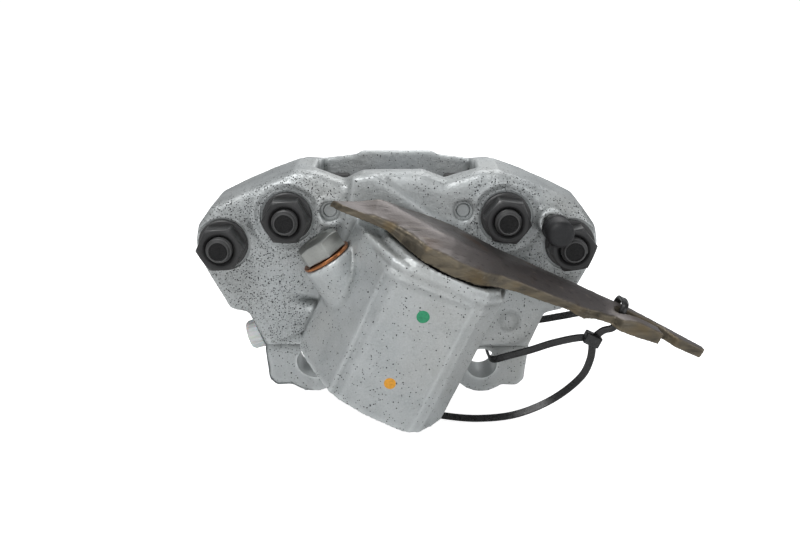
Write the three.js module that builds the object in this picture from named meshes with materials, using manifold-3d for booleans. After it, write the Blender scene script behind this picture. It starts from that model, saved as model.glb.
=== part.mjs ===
// A fixed disc-brake caliper: two cast halves bolted together over the disc edge, a piston and a pad
// on each side, and a cam-operated parking-brake lever in a housing cast on one half.
//
// Millimetres, +Z up. The origin is midway between the two mounting holes, on the face of the lugs
// that meets the axle carrier. +Y runs along the disc axis from the lever half to the outer half, and
// +X is to the right of someone who faces the lever half.
import * as THREE from "three";
import { mergeVertices } from "three/addons/utils/BufferGeometryUtils.js";
import Module from "manifold-3d";

const wasm = await Module();
wasm.setup();

// ---- Driving dimensions ----------------------------------------------------------------------------
const fit = 0.3; // gap between pieces that touch or slide
const round = 32; // segments of a large circle
const roundSmall = 18; // segments of a small circle
const roundDisc = 110; // segments of the disc's circle

// Disc and pads, measured from the middle plane of the disc
const discThickness = 12;
const discRadius = 147;
const discEdgeGap = 3; // disc edge to the underside of the bridge
const discRunning = 0.4; // disc face to lining
const liningThickness = 10;
const liningHalfWidth = 33;
const liningTop = -1;
const backingThickness = 5;
const backingHalfWidth = 35;
const backingTop = 22;
const backingMiddleTop = 16; // lower between the pins, under the spring
const padBottom = -46;
const padPocketGap = 2.3; // pad edge to casting

// Castings
const wallLever = 14; // pad pocket to the front of the lever half
const wallOuter = 12; // pad pocket to the back of the outer half
const windowHalfWidth = 37;
const windowTop = 33.5;
const edgeRound = 5; // rounding of the front edge of the lever half
const backRound = 22; // length of the rounding at the back of the outer half
const backInset = 8;
const outerStep = 2.5; // the bridge of the outer half is this much lower
const seatDepth = 2; // nut and bolt-head seats cut into the castings
const boreWall = 6; // metal round and behind a piston bore
const neckProud = 2.6; // the neck under the lever, clear of its tail at full travel

// Bridge bolts, nuts and washers
const boltThread = 12;
const boltHeadAcross = 19;
const boltHeadHeight = 7.5;
const nutHeight = 9.6;
const washerRadius = 11.4;
const washerThickness = 2.5;
const boltEndProud = 2.8;
const boltCircle = 166.1; // radius of the bolt centres about the disc axis
const boltInnerX = 50;
const boltOuterX = 80;

// Mounting lugs
const mountHalfSpacing = 41;
const mountDrop = 61; // mounting holes below the outer bridge bolts
const mountBore = 15;
const mountWall = 7.5; // metal round a mounting hole
const lugThickness = 20;
const lugFaceGap = 6; // disc face to the mating face of the lugs

// Pistons
const pistonDiameter = 42;
const pistonLength = 24;
const pistonCrown = 6;
const pistonWall = 5;
const pistonTravel = 6; // each side, until the linings would meet with no disc between them
const pistonDrop = 24; // piston axis below the outer bridge bolts
const boreEndGap = 2;
const sealWidth = 3;
const sealDepth = 2.6;
const bootDepth = 4.4;
const bootWidth = 4.4;

// Pad pins and spring
const pinDiameter = 6;
const pinX = 30.5;
const pinZ = 15.5;
const springThickness = 0.8;

// Lever housing, tilted about the disc axis
const tilt = THREE.MathUtils.degToRad(25);
const housingFront = 80; // front of the housing from the disc plane
const housingTop = 4.5; // along the cam shaft, from the level of the outer bolts
const housingBottom = -66.5;
const camS = 18; // cam shaft, across the housing
const camY = -64;
const camRadius = 8;
const camBottom = -38;
const camFlat = 5; // flat under the push rod, from the shaft axis
const bushWall = 2;
const bushLength = 9;

// Lever
const leverLength = 146; // tip, along the arm from the disc axis
const leverTop = 19.5;
const leverBottom = 9.7;
const hubDepth = 5; // blind socket for the cam shaft
const slotY = -50; // slot of the fork that holds the brake cable
const slotHalf = 2.7;

// Push rod, its spring and the adjuster
const pushRadius = 4;
const pushCollar = 7;
const stroke = 1.9; // travel of the push rod at full lever
const springRadial = 2.4;
const cageWall = 1;
const spindleRadius = 5;

// Hydraulic fittings
const bleedAcross = 7;
const bleedCapRadius = 6.3;
const bleedCapLength = 13;
const portPlugRadius = 7.6;
const portPlugLength = 9;
const portThread = 5;
const gaugePlugAcross = 19;
const gaugePlugHeight = 8;
const plugThread = 6;
const gaugeWasherRadius = 11.4;
const gaugeWasherThickness = 1.5;

// Cable tie
const tieRadius = 1.8;

// ---- Places that follow from them ------------------------------------------------------------------
const discAxisZ = -Math.sqrt(boltCircle ** 2 - boltOuterX ** 2);
const bridgeRadius = discRadius + discEdgeGap;
const discHalf = discThickness / 2;
const liningFront = discHalf + discRunning;
const backingFront = liningFront + liningThickness + fit;
const backingBack = backingFront + backingThickness;
const pocketDepth = backingBack + fit;
const frontY = -(pocketDepth + wallLever);
const backY = pocketDepth + wallOuter;
const seatFrontY = frontY + seatDepth;
const seatBackY = backY - seatDepth;
const lugFaceY = -(discHalf + lugFaceGap);
const lugFrontY = lugFaceY - lugThickness;
const mountZ = -mountDrop;
const pistonRadius = pistonDiameter / 2;
const boreRadius = pistonRadius + fit;
const boreEnd = pocketDepth + pistonLength + boreEndGap;
const bootOuter = boreRadius + bootWidth + 2 * fit + 1.7;
const barrelRadius = bootOuter + 5;
const pistonZ = -pistonDrop;
const boltX = [-boltOuterX, -boltInnerX, boltInnerX, boltOuterX];
const boltZ = (x) => Math.sqrt(boltCircle ** 2 - x ** 2) + discAxisZ;
const boltHole = boltThread / 2 + 0.5;
// The piston axis in the tilted frame of the housing
const pistonS = -pistonZ * Math.sin(tilt);
const pistonA = pistonZ * Math.cos(tilt);

const v = (x, y, z) => new THREE.Vector3(x, y, z);
const UP = v(0, 1, 0);
const DEPTH = v(0, 1, 0);
// From the tilted frame (s across, y deep, a along the cam shaft) to the frame of the caliper
const tiltMatrix = new THREE.Matrix4().makeRotationY(tilt);
const tilted = (s, y, a) => v(s, y, a).applyMatrix4(tiltMatrix);

// ---- Solids ----------------------------------------------------------------------------------------
function solid(geometry) {
  const plain = geometry.index ? geometry.toNonIndexed() : geometry.clone();
  plain.deleteAttribute("normal");
  plain.deleteAttribute("uv");
  const merged = mergeVertices(plain, 1e-4);
  return new wasm.Manifold(
    new wasm.Mesh({
      numProp: 3,
      vertProperties: merged.attributes.position.array,
      triVerts: new Uint32Array(merged.index.array),
    }),
  );
}

function geometryOf(made) {
  const mesh = made.getMesh();
  const places = new Float32Array(mesh.numVert * 3);
  for (let i = 0; i < mesh.numVert; i++) {
    places.set(mesh.vertProperties.subarray(i * mesh.numProp, i * mesh.numProp + 3), i * 3);
  }
  const geometry = new THREE.BufferGeometry();
  geometry.setAttribute("position", new THREE.BufferAttribute(places, 3));
  geometry.setIndex(new THREE.BufferAttribute(mesh.triVerts, 1));
  geometry.computeVertexNormals();
  return geometry;
}

const join = (...parts) => parts.reduce((whole, part) => whole.add(part));
const cut = (whole, ...parts) => parts.reduce((left, part) => left.subtract(part), whole);

const outline = (points) => new THREE.Shape(points.map(([x, y]) => new THREE.Vector2(x, y)));

// A prism with its outline in the X-Z plane, between two depths. Its two ends are rounded over a length
// and pulled in by an inset.
function plate(points, y0, y1, bevel = 0, inset = bevel * 0.8) {
  const rounded = {
    depth: y1 - y0 - 2 * bevel,
    bevelEnabled: bevel > 0,
    bevelThickness: bevel,
    bevelSize: inset,
    bevelOffset: -inset,
    bevelSegments: 2,
  };
  const geometry = new THREE.ExtrudeGeometry(outline(points), rounded);
  geometry.rotateX(Math.PI / 2);
  geometry.translate(0, y1 - bevel, 0);
  return geometry;
}

// A prism with its outline across and deep, between two heights.
function column(points, z0, z1, holes = []) {
  const shape = outline(points);
  shape.holes = holes.map((hole) => new THREE.Path(hole.map(([x, y]) => new THREE.Vector2(x, y))));
  const geometry = new THREE.ExtrudeGeometry(shape, { depth: z1 - z0, bevelEnabled: false });
  geometry.translate(0, 0, z0);
  return geometry;
}

// Turns a geometry that is built about +Y so that it runs from a place in a direction.
function along(geometry, from, direction) {
  const turn = new THREE.Quaternion().setFromUnitVectors(UP, direction.clone().normalize());
  return geometry.applyQuaternion(turn).translate(from.x, from.y, from.z);
}

function rod(radius, from, to, segments = round) {
  const length = from.distanceTo(to);
  const geometry = new THREE.CylinderGeometry(radius, radius, length, segments);
  geometry.translate(0, length / 2, 0);
  return along(geometry, from, to.clone().sub(from));
}

// A turned piece: pairs of radius and place along the axis, ending on the axis or closed on itself.
function turned(profile, from = v(0, 0, 0), direction = DEPTH, segments = roundSmall) {
  const geometry = new THREE.LatheGeometry(
    profile.map(([radius, place]) => new THREE.Vector2(radius, place)),
    segments,
  );
  return along(geometry, from, direction);
}

function ring(inner, outer, y0, y1, segments = round - 6) {
  const profile = [[inner, y0], [outer, y0], [outer, y1], [inner, y1], [inner, y0]];
  return turned(profile, v(0, 0, 0), DEPTH, segments);
}

function hexPrism(across, y0, y1) {
  const geometry = new THREE.CylinderGeometry(across / Math.sqrt(3), across / Math.sqrt(3), y1 - y0, 6);
  return geometry.translate(0, (y0 + y1) / 2, 0);
}

// A hexagon with its corners turned off at the ends asked for.
function hexTurned(across, y0, y1, low, high) {
  const corner = across / Math.sqrt(3);
  const face = across / 2 - 0.4;
  const drop = (corner - face) * Math.tan(Math.PI / 6);
  const wide = corner + 1;
  const profile = [[0, y0], [low ? face : wide, y0]];
  if (low) profile.push([wide, y0 + drop * ((wide - face) / (corner - face))]);
  if (high) profile.push([wide, y1 - drop * ((wide - face) / (corner - face))]);
  profile.push([high ? face : wide, y1], [0, y1]);
  return solid(hexPrism(across, y0, y1)).intersect(solid(turned(profile)));
}

// ---- Finishes --------------------------------------------------------------------------------------
const finish = (color, roughness, metalness) =>
  new THREE.MeshStandardMaterial({ color, roughness, metalness });
const castIron = finish(0xaeb4b4, 0.55, 0.6);
const blackSteel = finish(0x2e2e30, 0.4, 0.7);
const forgedSteel = finish(0x7a6f62, 0.5, 0.7);
const plainSteel = finish(0x9a9a98, 0.35, 0.9);
const springSteel = finish(0x4a4c50, 0.4, 0.8);
const copper = finish(0xb9743c, 0.35, 0.9);
const rubber = finish(0x161616, 0.85, 0);
const blackNylon = finish(0x1b1b1c, 0.45, 0);
const whiteNylon = finish(0xe9ecec, 0.5, 0);
const frictionLining = finish(0x3c3a37, 0.95, 0);
const blackPaint = finish(0x202122, 0.6, 0.1);

const part = new THREE.Group();
part.name = "brake_caliper";
const caliper = new THREE.Group(); // the frame of the disc plane and the outer bolts
caliper.position.set(0, -lugFaceY, mountDrop);
part.add(caliper);

function piece(parent, name, shape, material) {
  const geometry = shape.isBufferGeometry ? shape : geometryOf(shape);
  const mesh = new THREE.Mesh(geometry, material);
  mesh.name = name;
  parent.add(mesh);
  return mesh;
}

function groupIn(parent, x, y, z) {
  const group = new THREE.Group();
  group.position.set(x, y, z);
  parent.add(group);
  return group;
}

// ---- Shared shape of the two castings --------------------------------------------------------------
const outerX = boltOuterX;
const innerZ = boltZ(boltInnerX);
// From the pad window over the two bolts and down the end of the bridge
const shoulder = [
  [windowHalfWidth, windowTop],
  [boltInnerX - 3.5, innerZ + 21.3],
  [boltInnerX + 10, innerZ + 16.3],
  [outerX - 6, 23],
  [outerX + 5, 17.5],
  [outerX + 12, 8],
  [outerX + 13.5, 0],
  [outerX + 12, -8],
];

const discSlot = (y0, y1) => rod(bridgeRadius, v(0, y0, discAxisZ), v(0, y1, discAxisZ), roundDisc);

function box(x0, x1, y0, y1, z0, z1) {
  const geometry = new THREE.BoxGeometry(x1 - x0, y1 - y0, z1 - z0);
  return geometry.translate((x0 + x1) / 2, (y0 + y1) / 2, (z0 + z1) / 2);
}

const pocketHalf = backingHalfWidth + padPocketGap;
const pinHole = (x) =>
  rod(pinDiameter / 2 + fit, v(x, frontY - 9, pinZ), v(x, backY + 9, pinZ), roundSmall);

// Bore, seal groove and boot recess of one piston, on the side given by the sign of its depth.
function pistonBore(side) {
  const at = (depth) => v(0, side * depth, pistonZ);
  const grooveAt = pocketDepth + bootDepth + 3;
  return join(
    solid(rod(boreRadius, at(pocketDepth - 1), at(boreEnd))),
    solid(rod(boreRadius + sealDepth + fit, at(grooveAt - fit), at(grooveAt + sealWidth + fit))),
    solid(rod(bootOuter + fit, at(pocketDepth - 1), at(pocketDepth + bootDepth + fit))),
  );
}

// ---- Lever-side half -------------------------------------------------------------------------------
const legOut = mountHalfSpacing + 22.5;
const legEnd = [
  [outerX + 7, -18],
  [outerX - 1, -33],
  [legOut + 7, -35],
  [legOut + 0.3, mountZ + 10],
  [legOut - 0.5, mountZ + 2],
  [legOut - 1.5, mountZ - 8.5],
  [legOut - 5, mountZ - 12],
  [mountHalfSpacing + 9, mountZ - 11.5],
];
const leverHalfSide = [
  ...shoulder,
  ...legEnd,
  [mountHalfSpacing, mountZ],
  [26, mountZ + 15],
];
// The section of the lever housing across the cam shaft
const housingSection = [
  [pistonS - barrelRadius + 2, frontY + 8],
  [pistonS - barrelRadius + 1, frontY - 12],
  [camS - 21, -housingFront + 3],
  [camS - 16, -housingFront],
  [camS + 17, -housingFront],
  [camS + 23, -housingFront + 3],
  [camS + 32, -housingFront + 16],
  [camS + 35.5, frontY - 12],
  [camS + 35.5, frontY + 8],
];
// Its outline seen along the disc axis, with the lower corners cut back
const housingFace = [
  [camS - 43, housingBottom + 10],
  [camS - 38.5, housingBottom + 5],
  [camS - 31, housingBottom + 3.2],
  [camS - 22, housingBottom + 3.2],
  [camS - 3, housingBottom + 0.5],
  [camS + 15, housingBottom],
  [camS + 20, housingBottom + 1.5],
  [camS + 28, housingBottom + 3.5],
  [camS + 33, housingBottom + 7.5],
  [camS + 35, housingBottom + 14],
  [camS + 36, housingBottom + 24],
  [camS + 36, housingTop],
  [camS - 43, housingTop],
];
// The lip round the open top of the housing
const lipHeight = 3;
const lipOuter = [
  [camS - 29.5, frontY - 6],
  [camS - 25.5, -59],
  [camS - 16.5, -housingFront + 4.2],
  [camS - 11, -housingFront + 1],
  [camS + 15, -housingFront + 0.6],
  [camS + 22.8, -housingFront + 4.4],
  [camS + 29.5, -housingFront + 15],
  [camS + 31, frontY - 6],
];
const lipInner = [
  [camS - 25, frontY - 10],
  [camS - 20, -58],
  [camS - 10.5, -housingFront + 9.5],
  [camS - 1, -housingFront + 4],
  [camS + 13, -housingFront + 4],
  [camS + 20, -housingFront + 8.5],
  [camS + 25.5, -housingFront + 17],
  [camS + 26, frontY - 10],
];

// Left: a plug that closes the drilling for the piston feed, seated on the flank of the housing
const gaugeAt = v(-31, -50, -2.5);
const gaugeAxis = v(-0.52, 0, 0.854).normalize();
// Left leg: the brake pipe port
const portAxis = v(-0.95, 0, -0.31).normalize();
const portAt = v(-legOut + 0.5, (lugFaceY + lugFrontY) / 2 - 1, mountZ + 14);
// Right: the bleed screw
const bleedAt = v(outerX - 10.6, frontY + 6, 12.9);
const bleedAxis = v(0.078, -0.993, -0.087).normalize();
const on = (from, axis, distance) => from.clone().addScaledVector(axis, distance);
const bleedSeat = 12; // end of the boss, from bleedAt
const camBore = camRadius + bushWall + 2 * fit;
const sealOuter = camRadius + fit + 4.6;

function leverSideHalf() {
  const face = [
    [-16, windowTop - 1],
    [-24, windowTop - 5],
    ...leverHalfSide.map(([x, z]) => [-x, z]),
    [0, padBottom],
    ...[...leverHalfSide].reverse(),
    [22, windowTop - 4.5],
    [12, windowTop - 0.5],
  ];
  const slab = solid(plate(face, frontY, -frontY, edgeRound)).intersect(
    solid(box(-200, 200, frontY - 1, -fit / 2, -200, 200)),
  );
  const lugs = [-1, 1].map((side) =>
    solid(
      rod(
        mountBore / 2 + mountWall,
        v(side * mountHalfSpacing, lugFrontY, mountZ),
        v(side * mountHalfSpacing, lugFaceY, mountZ),
      ),
    ),
  );
  const barrel = solid(rod(barrelRadius, v(0, frontY, pistonZ), v(0, -pocketDepth, pistonZ)));
  const neck = plate(
    [
      [-20, 31.5], [-26, 0], [-30, -22], [30, -30], [44, -10],
      [33.5, 4.5], [15, 15.5], [1.6, 25.5], [-9.5, 33],
    ],
    frontY - neckProud,
    frontY + 4,
    1.5,
  );
  const housing = solid(column(housingSection, housingBottom - 5, housingTop + 1))
    .intersect(solid(plate(housingFace, -housingFront - 2, frontY + 8)))
    .add(solid(column(lipOuter, housingTop - 2, housingTop + lipHeight)));
  const insideLip = solid(column(lipInner, housingTop - 0.5, housingTop + 5));
  const tiltedHousing = cut(housing, insideLip).transform(tiltMatrix.elements);
  const gaugeBoss = solid(
    rod(gaugeWasherRadius + 0.4, on(gaugeAt, gaugeAxis, -20), on(gaugeAt, gaugeAxis, -fit)),
  );
  const bleedBoss = solid(
    rod(6.2, on(bleedAt, bleedAxis, -4), on(bleedAt, bleedAxis, bleedSeat), roundSmall),
  );
  const pinBoss = solid(
    rod(pinDiameter / 2 + 4.4, v(-pinX, frontY - 1, pinZ), v(-pinX, frontY + 5, pinZ), roundSmall),
  );
  let half = join(slab, ...lugs, barrel, solid(neck), tiltedHousing, gaugeBoss, pinBoss);
  // The legs stop at the mating face of the lugs, and the disc runs behind them
  half = cut(
    half,
    solid(discSlot(lugFaceY, 40)),
    solid(box(-pocketHalf, pocketHalf, -pocketDepth, 40, padBottom - padPocketGap - 1, 80)),
    solid(box(-200, 200, lugFaceY, 40, -200, discAxisZ + 100)),
  );
  // Below the shelf the legs step back to the front of the lugs
  for (const side of [-1, 1]) {
    const edges = [side * (mountHalfSpacing - 18), side * (legOut + 30)].sort((a, b) => a - b);
    const step = solid(box(...edges, frontY - 1, lugFrontY, -200, mountZ + 10));
    half = half.subtract(step.subtract(tiltedHousing));
  }
  half = half.add(bleedBoss);
  for (const x of boltX) {
    half = cut(
      half,
      solid(rod(boltHole, v(x, frontY - 20, boltZ(x)), v(x, 20, boltZ(x)), roundSmall)),
      solid(rod(washerRadius + 1.2, v(x, frontY - 25, boltZ(x)), v(x, seatFrontY, boltZ(x)))),
    );
  }
  const mountHoles = [-1, 1].map((side) =>
    solid(
      rod(
        mountBore / 2,
        v(side * mountHalfSpacing, lugFrontY - 8, mountZ),
        v(side * mountHalfSpacing, lugFaceY + 5, mountZ),
      ),
    ),
  );
  const camOpening = tilted(camS, camY, housingTop + 8);
  const camHole = solid(rod(camBore, tilted(camS, camY, camBottom - 1), camOpening));
  const sealSeat = solid(
    rod(sealOuter + fit, tilted(camS, camY, housingTop - 4), camOpening),
  );
  const pushHole = solid(
    rod(pushRadius + fit, v(0, camY + 3, pistonZ), v(0, -boreEnd + 1, pistonZ), roundSmall),
  );
  const recessAt = (y) => v(mountHalfSpacing + 12, y, mountZ + 23);
  const recess = solid(rod(5.6, recessAt(frontY - 9), recessAt(frontY + 1.5), roundSmall));
  const pinMouth = (x) =>
    solid(rod(pinDiameter / 2 + 1.6, v(x, frontY - 9, pinZ), v(x, frontY + 2, pinZ), roundSmall));
  return cut(
    half,
    ...mountHoles,
    pistonBore(-1),
    camHole,
    sealSeat,
    pushHole,
    solid(pinHole(-pinX)),
    solid(pinHole(pinX)),
    pinMouth(-pinX),
    pinMouth(pinX),
    recess,
    solid(rod(plugThread + fit, on(gaugeAt, gaugeAxis, -12), on(gaugeAt, gaugeAxis, 1), roundSmall)),
    solid(rod(gaugeWasherRadius + 0.8, on(gaugeAt, gaugeAxis, -fit), on(gaugeAt, gaugeAxis, 14))),
    solid(rod(portThread + fit, on(portAt, portAxis, -12), on(portAt, portAxis, 6), roundSmall)),
    solid(rod(portPlugRadius + 0.6, on(portAt, portAxis, 0), on(portAt, portAxis, 14))),
    solid(rod(3.2 + fit, on(bleedAt, bleedAxis, 0), on(bleedAt, bleedAxis, bleedSeat + 2), roundSmall)),
  );
}
piece(caliper, "lever_side_half", leverSideHalf(), castIron);

// ---- Outer half ------------------------------------------------------------------------------------
function outerHalf() {
  const lower = shoulder.map(([x, z]) => [x, z - outerStep]);
  const under = [[outerX + 4, -17], [outerX - 14, -22], [mountHalfSpacing + 8, -34], [26, -50]];
  const side = [...lower, ...under];
  const face = [[-18.5, windowTop + 1.3], [-21, windowTop - 0.5], ...side.map(([x, z]) => [-x, z])]
    .concat([[0, pistonZ - barrelRadius + 2]])
    .concat([...side].reverse(), [[21, windowTop - 0.5], [18.5, windowTop + 1.3]]);
  const slab = solid(plate(face, -backY, backY, backRound, backInset)).intersect(
    solid(box(-200, 200, fit / 2, backY + 1, -200, 200)),
  );
  const barrel = solid(
    turned(
      [
        [0, 0],
        [barrelRadius, 0],
        [barrelRadius, backY],
        [barrelRadius - 4, backY + 3],
        [barrelRadius - 4, boreEnd + boreWall - 3],
        [barrelRadius - 8, boreEnd + boreWall],
        [0, boreEnd + boreWall],
      ],
      v(0, 0, pistonZ),
    ),
  );
  let half = cut(
    join(slab, barrel),
    solid(box(-pocketHalf, pocketHalf, -1, pocketDepth, -200, 80)),
    solid(discSlot(-1, discHalf + lugFaceGap)),
    pistonBore(1),
    solid(pinHole(-pinX)),
    solid(pinHole(pinX)),
  );
  for (const x of boltX) {
    half = cut(
      half,
      solid(rod(boltHole, v(x, -1, boltZ(x)), v(x, backY + 5, boltZ(x)), roundSmall)),
      solid(rod(washerRadius + 1.2, v(x, seatBackY, boltZ(x)), v(x, backY + 20, boltZ(x)))),
    );
  }
  return half;
}
piece(caliper, "outer_half", outerHalf(), castIron);

// ---- Bridge bolts, nuts and washers ----------------------------------------------------------------
const washerBack = -(fit + washerThickness);
const nutBack = washerBack - fit;
const boltTip = seatFrontY + nutBack - nutHeight - boltEndProud;
boltX.forEach((x, index) => {
  const station = groupIn(caliper, x, 0, boltZ(x));
  const number = index + 1;
  const radius = boltThread / 2;
  const shank = turned([
    [0, boltTip],
    [radius - 1.2, boltTip],
    [radius, boltTip + 1.2],
    [radius, seatBackY + fit + 1],
    [0, seatBackY + fit + 1],
  ], undefined, undefined, roundSmall);
  const head = hexTurned(boltHeadAcross, seatBackY + fit, seatBackY + fit + boltHeadHeight, false, true);
  piece(station, "bridge_bolt_" + number, solid(shank).add(head), blackSteel);
  const nut = groupIn(station, 0, seatFrontY, 0);
  const hole = rod(radius + fit, v(0, nutBack - nutHeight - 1, 0), v(0, 1, 0), roundSmall);
  const hex = hexTurned(boltHeadAcross, nutBack - nutHeight, nutBack, true, false);
  piece(nut, "bridge_nut_" + number, cut(hex, solid(hole)), blackSteel);
  const washer = ring(radius + fit, washerRadius, washerBack, -fit, roundSmall);
  piece(nut, "bridge_washer_" + number, washer, blackSteel);
});

// ---- Pistons, seals, boots and pads, alike on the two sides ----------------------------------------
// Built for the lever side; the outer side is the same set turned half round about +Z.
const padSide = [
  [backingHalfWidth, backingTop],
  [backingHalfWidth, padBottom + 8],
  [backingHalfWidth - 9, padBottom],
];
function padBacking() {
  const face = [
    [0, backingMiddleTop],
    [-22, backingMiddleTop],
    [-24.5, backingTop],
    ...padSide.map(([x, z]) => [-x, z]),
    ...[...padSide].reverse(),
    [24.5, backingTop],
    [22, backingMiddleTop],
  ];
  return cut(
    solid(plate(face, -backingBack, -backingFront)),
    ...[-pinX, pinX].map((x) =>
      solid(
        rod(pinDiameter / 2 + 0.5, v(x, -backingBack - 1, pinZ), v(x, -backingFront + 1, pinZ), roundSmall),
      ),
    ),
  );
}
function padLining() {
  const w = liningHalfWidth;
  const face = [
    [-w, liningTop - 4],
    [-w, padBottom + 10],
    [-w + 8, padBottom + 2],
    [w - 8, padBottom + 2],
    [w, padBottom + 10],
    [w, liningTop - 4],
    [w / 2, liningTop],
    [-w / 2, liningTop],
  ];
  return plate(face, -backingFront + fit, -liningFront);
}

for (const [side, turn] of [["lever_side", 0], ["outer", Math.PI]]) {
  const set = groupIn(caliper, 0, 0, 0);
  set.rotation.z = turn;
  const bore = groupIn(set, 0, 0, pistonZ);
  const crown = -pocketDepth;
  const open = crown - pistonLength;
  const inner = pistonRadius - pistonWall;
  const spindleSeat = crown - pistonCrown;
  const cup = turned([
    [0, spindleSeat],
    [inner, spindleSeat],
    [inner, open],
    [pistonRadius - 1, open],
    [pistonRadius, open + 1],
    [pistonRadius, crown - 1],
    [pistonRadius - 1, crown],
    [0, crown],
  ]);
  piece(bore, "piston_" + side, cup, plainSteel);
  const grooveAt = -(pocketDepth + bootDepth + 3);
  piece(bore, "piston_seal_" + side,
    ring(pistonRadius + fit, boreRadius + sealDepth, grooveAt - sealWidth, grooveAt), rubber);
  const bootBack = -(pocketDepth + bootDepth);
  const bootEdge = boreRadius + bootWidth;
  piece(bore, "dust_boot_" + side, turned([
    [pistonRadius + fit, crown - fit - 1.6],
    [pistonRadius + fit, crown - fit],
    [bootEdge - 1, crown - fit - 0.6],
    [bootEdge, bootBack],
    [bootEdge - 1.6, bootBack],
    [bootEdge - 2, crown - fit - 2],
    [pistonRadius + fit, crown - fit - 1.6],
  ].reverse()), rubber);
  piece(bore, "boot_ring_" + side, ring(bootEdge + fit, bootOuter, bootBack, crown - fit), plainSteel);
  piece(set, "pad_backing_" + side, padBacking(), blackPaint);
  piece(set, "pad_lining_" + side, padLining(), frictionLining);
}

// ---- Pad pins and the spring over the pads ---------------------------------------------------------
[["left", -pinX], ["right", pinX]].forEach(([hand, x]) => {
  const station = groupIn(caliper, x, 0, pinZ);
  const pin = turned([
    [0, frontY + 2.5],
    [pinDiameter / 2 - 0.6, frontY + 2.5],
    [pinDiameter / 2, frontY + 3.1],
    [pinDiameter / 2, backY - 3],
    [0, backY - 3],
  ]);
  piece(station, "pad_pin_" + hand, pin, plainSteel);
});

function padSpring() {
  const top = backingMiddleTop + 2.4;
  const low = pinZ - pinDiameter / 2 - fit;
  const t = springThickness;
  const rise = [[14, top + t], [21, low + 1.5], [27, low], [34, low]];
  const upper = [...rise.map(([x, z]) => [-x, z]).reverse(), ...rise];
  const lower = upper.map(([x, z]) => [x, z - t]).reverse();
  const leafHalf = backingFront - pistonTravel - 2 * fit; // stays between the ears of worn pads
  const leaf = plate([...upper, ...lower], -leafHalf, leafHalf);
  const cross = box(-10, 10, -backingBack + 1, backingBack - 1, top, top + t);
  return join(solid(leaf), solid(cross));
}
piece(caliper, "pad_spring", padSpring(), springSteel);

// ---- Cam shaft, bushes, seal and push rod ----------------------------------------------------------
const leverFrame = groupIn(caliper, 0, 0, 0); // tilted: x across, y deep, z along the cam shaft
leverFrame.rotation.y = tilt;
const camPlace = groupIn(leverFrame, camS, camY, 0);
const camTop = leverBottom + hubDepth - fit;
function camShaft() {
  const shaft = solid(rod(camRadius, v(0, 0, camBottom), v(0, 0, camTop)));
  const flatHalf = pushRadius + 3;
  const wide = camRadius + 1;
  return shaft.subtract(solid(box(-wide, wide, camFlat, wide, pistonA - flatHalf, pistonA + flatHalf)));
}
piece(camPlace, "cam_shaft", camShaft(), plainSteel);
const bushInner = camRadius + fit;
const bushOuter = bushInner + bushWall;
const upright = (geometry) => geometry.rotateX(Math.PI / 2);
const shaftRing = (inner, outer, a0, a1) => upright(ring(inner, outer, a0, a1));
piece(camPlace, "shaft_bush_lower",
  shaftRing(bushInner, bushOuter, camBottom, camBottom + bushLength), copper);
piece(camPlace, "shaft_bush_upper",
  shaftRing(bushInner, bushOuter, housingTop - 4.6 - bushLength, housingTop - 4.6), copper);
piece(camPlace, "shaft_dust_seal",
  shaftRing(bushInner, sealOuter, housingTop - 3.7, housingTop + 2.6), rubber);

const pushLine = groupIn(caliper, 0, 0, pistonZ);
const pushBack = camY + camFlat + 0.4; // rounded end on the flat of the cam shaft
const cageEnd = -boreEnd + 8.2;
const pushTip = cageEnd + 1.6;
const collarAt = -boreEnd + 1;
const pushRod = turned([
  [0, pushBack],
  [pushRadius * 0.5, pushBack + 0.55],
  [pushRadius * 0.85, pushBack + 1.6],
  [pushRadius, pushBack + 3],
  [pushRadius, collarAt],
  [pushCollar, collarAt],
  [pushCollar, collarAt + 1.4],
  [pushRadius - 1, collarAt + 1.4],
  [pushRadius - 1, pushTip],
  [0, pushTip],
]);
piece(pushLine, "push_rod", pushRod, plainSteel);
const springInner = pushRadius - 1 + fit;
const springOuter = springInner + springRadial;
const returnSpring = ring(springInner, springOuter, collarAt + 1.4 + fit, cageEnd - fit, roundSmall);
piece(pushLine, "return_spring", returnSpring, springSteel);
const cageInner = pushCollar + fit;
const cage = turned([
  [cageInner, -boreEnd + fit],
  [cageInner + cageWall, -boreEnd + fit],
  [cageInner + cageWall, cageEnd + cageWall],
  [pushRadius - 1 + fit, cageEnd + cageWall],
  [pushRadius - 1 + fit, cageEnd],
  [cageInner, cageEnd],
  [cageInner, -boreEnd + fit],
]);
piece(pushLine, "spring_cage", cage, plainSteel);
const spindleBack = pushTip + stroke + fit;
const underCrown = -pocketDepth - pistonCrown - fit;
const spindle = turned([
  [0, spindleBack],
  [spindleRadius, spindleBack],
  [spindleRadius, underCrown],
  [0, underCrown],
]);
piece(pushLine, "adjuster_spindle", spindle, plainSteel);
const sleeve = ring(spindleRadius + fit, spindleRadius + 4, underCrown - 4.7, underCrown, roundSmall);
piece(pushLine, "adjuster_sleeve", sleeve, plainSteel);

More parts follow.
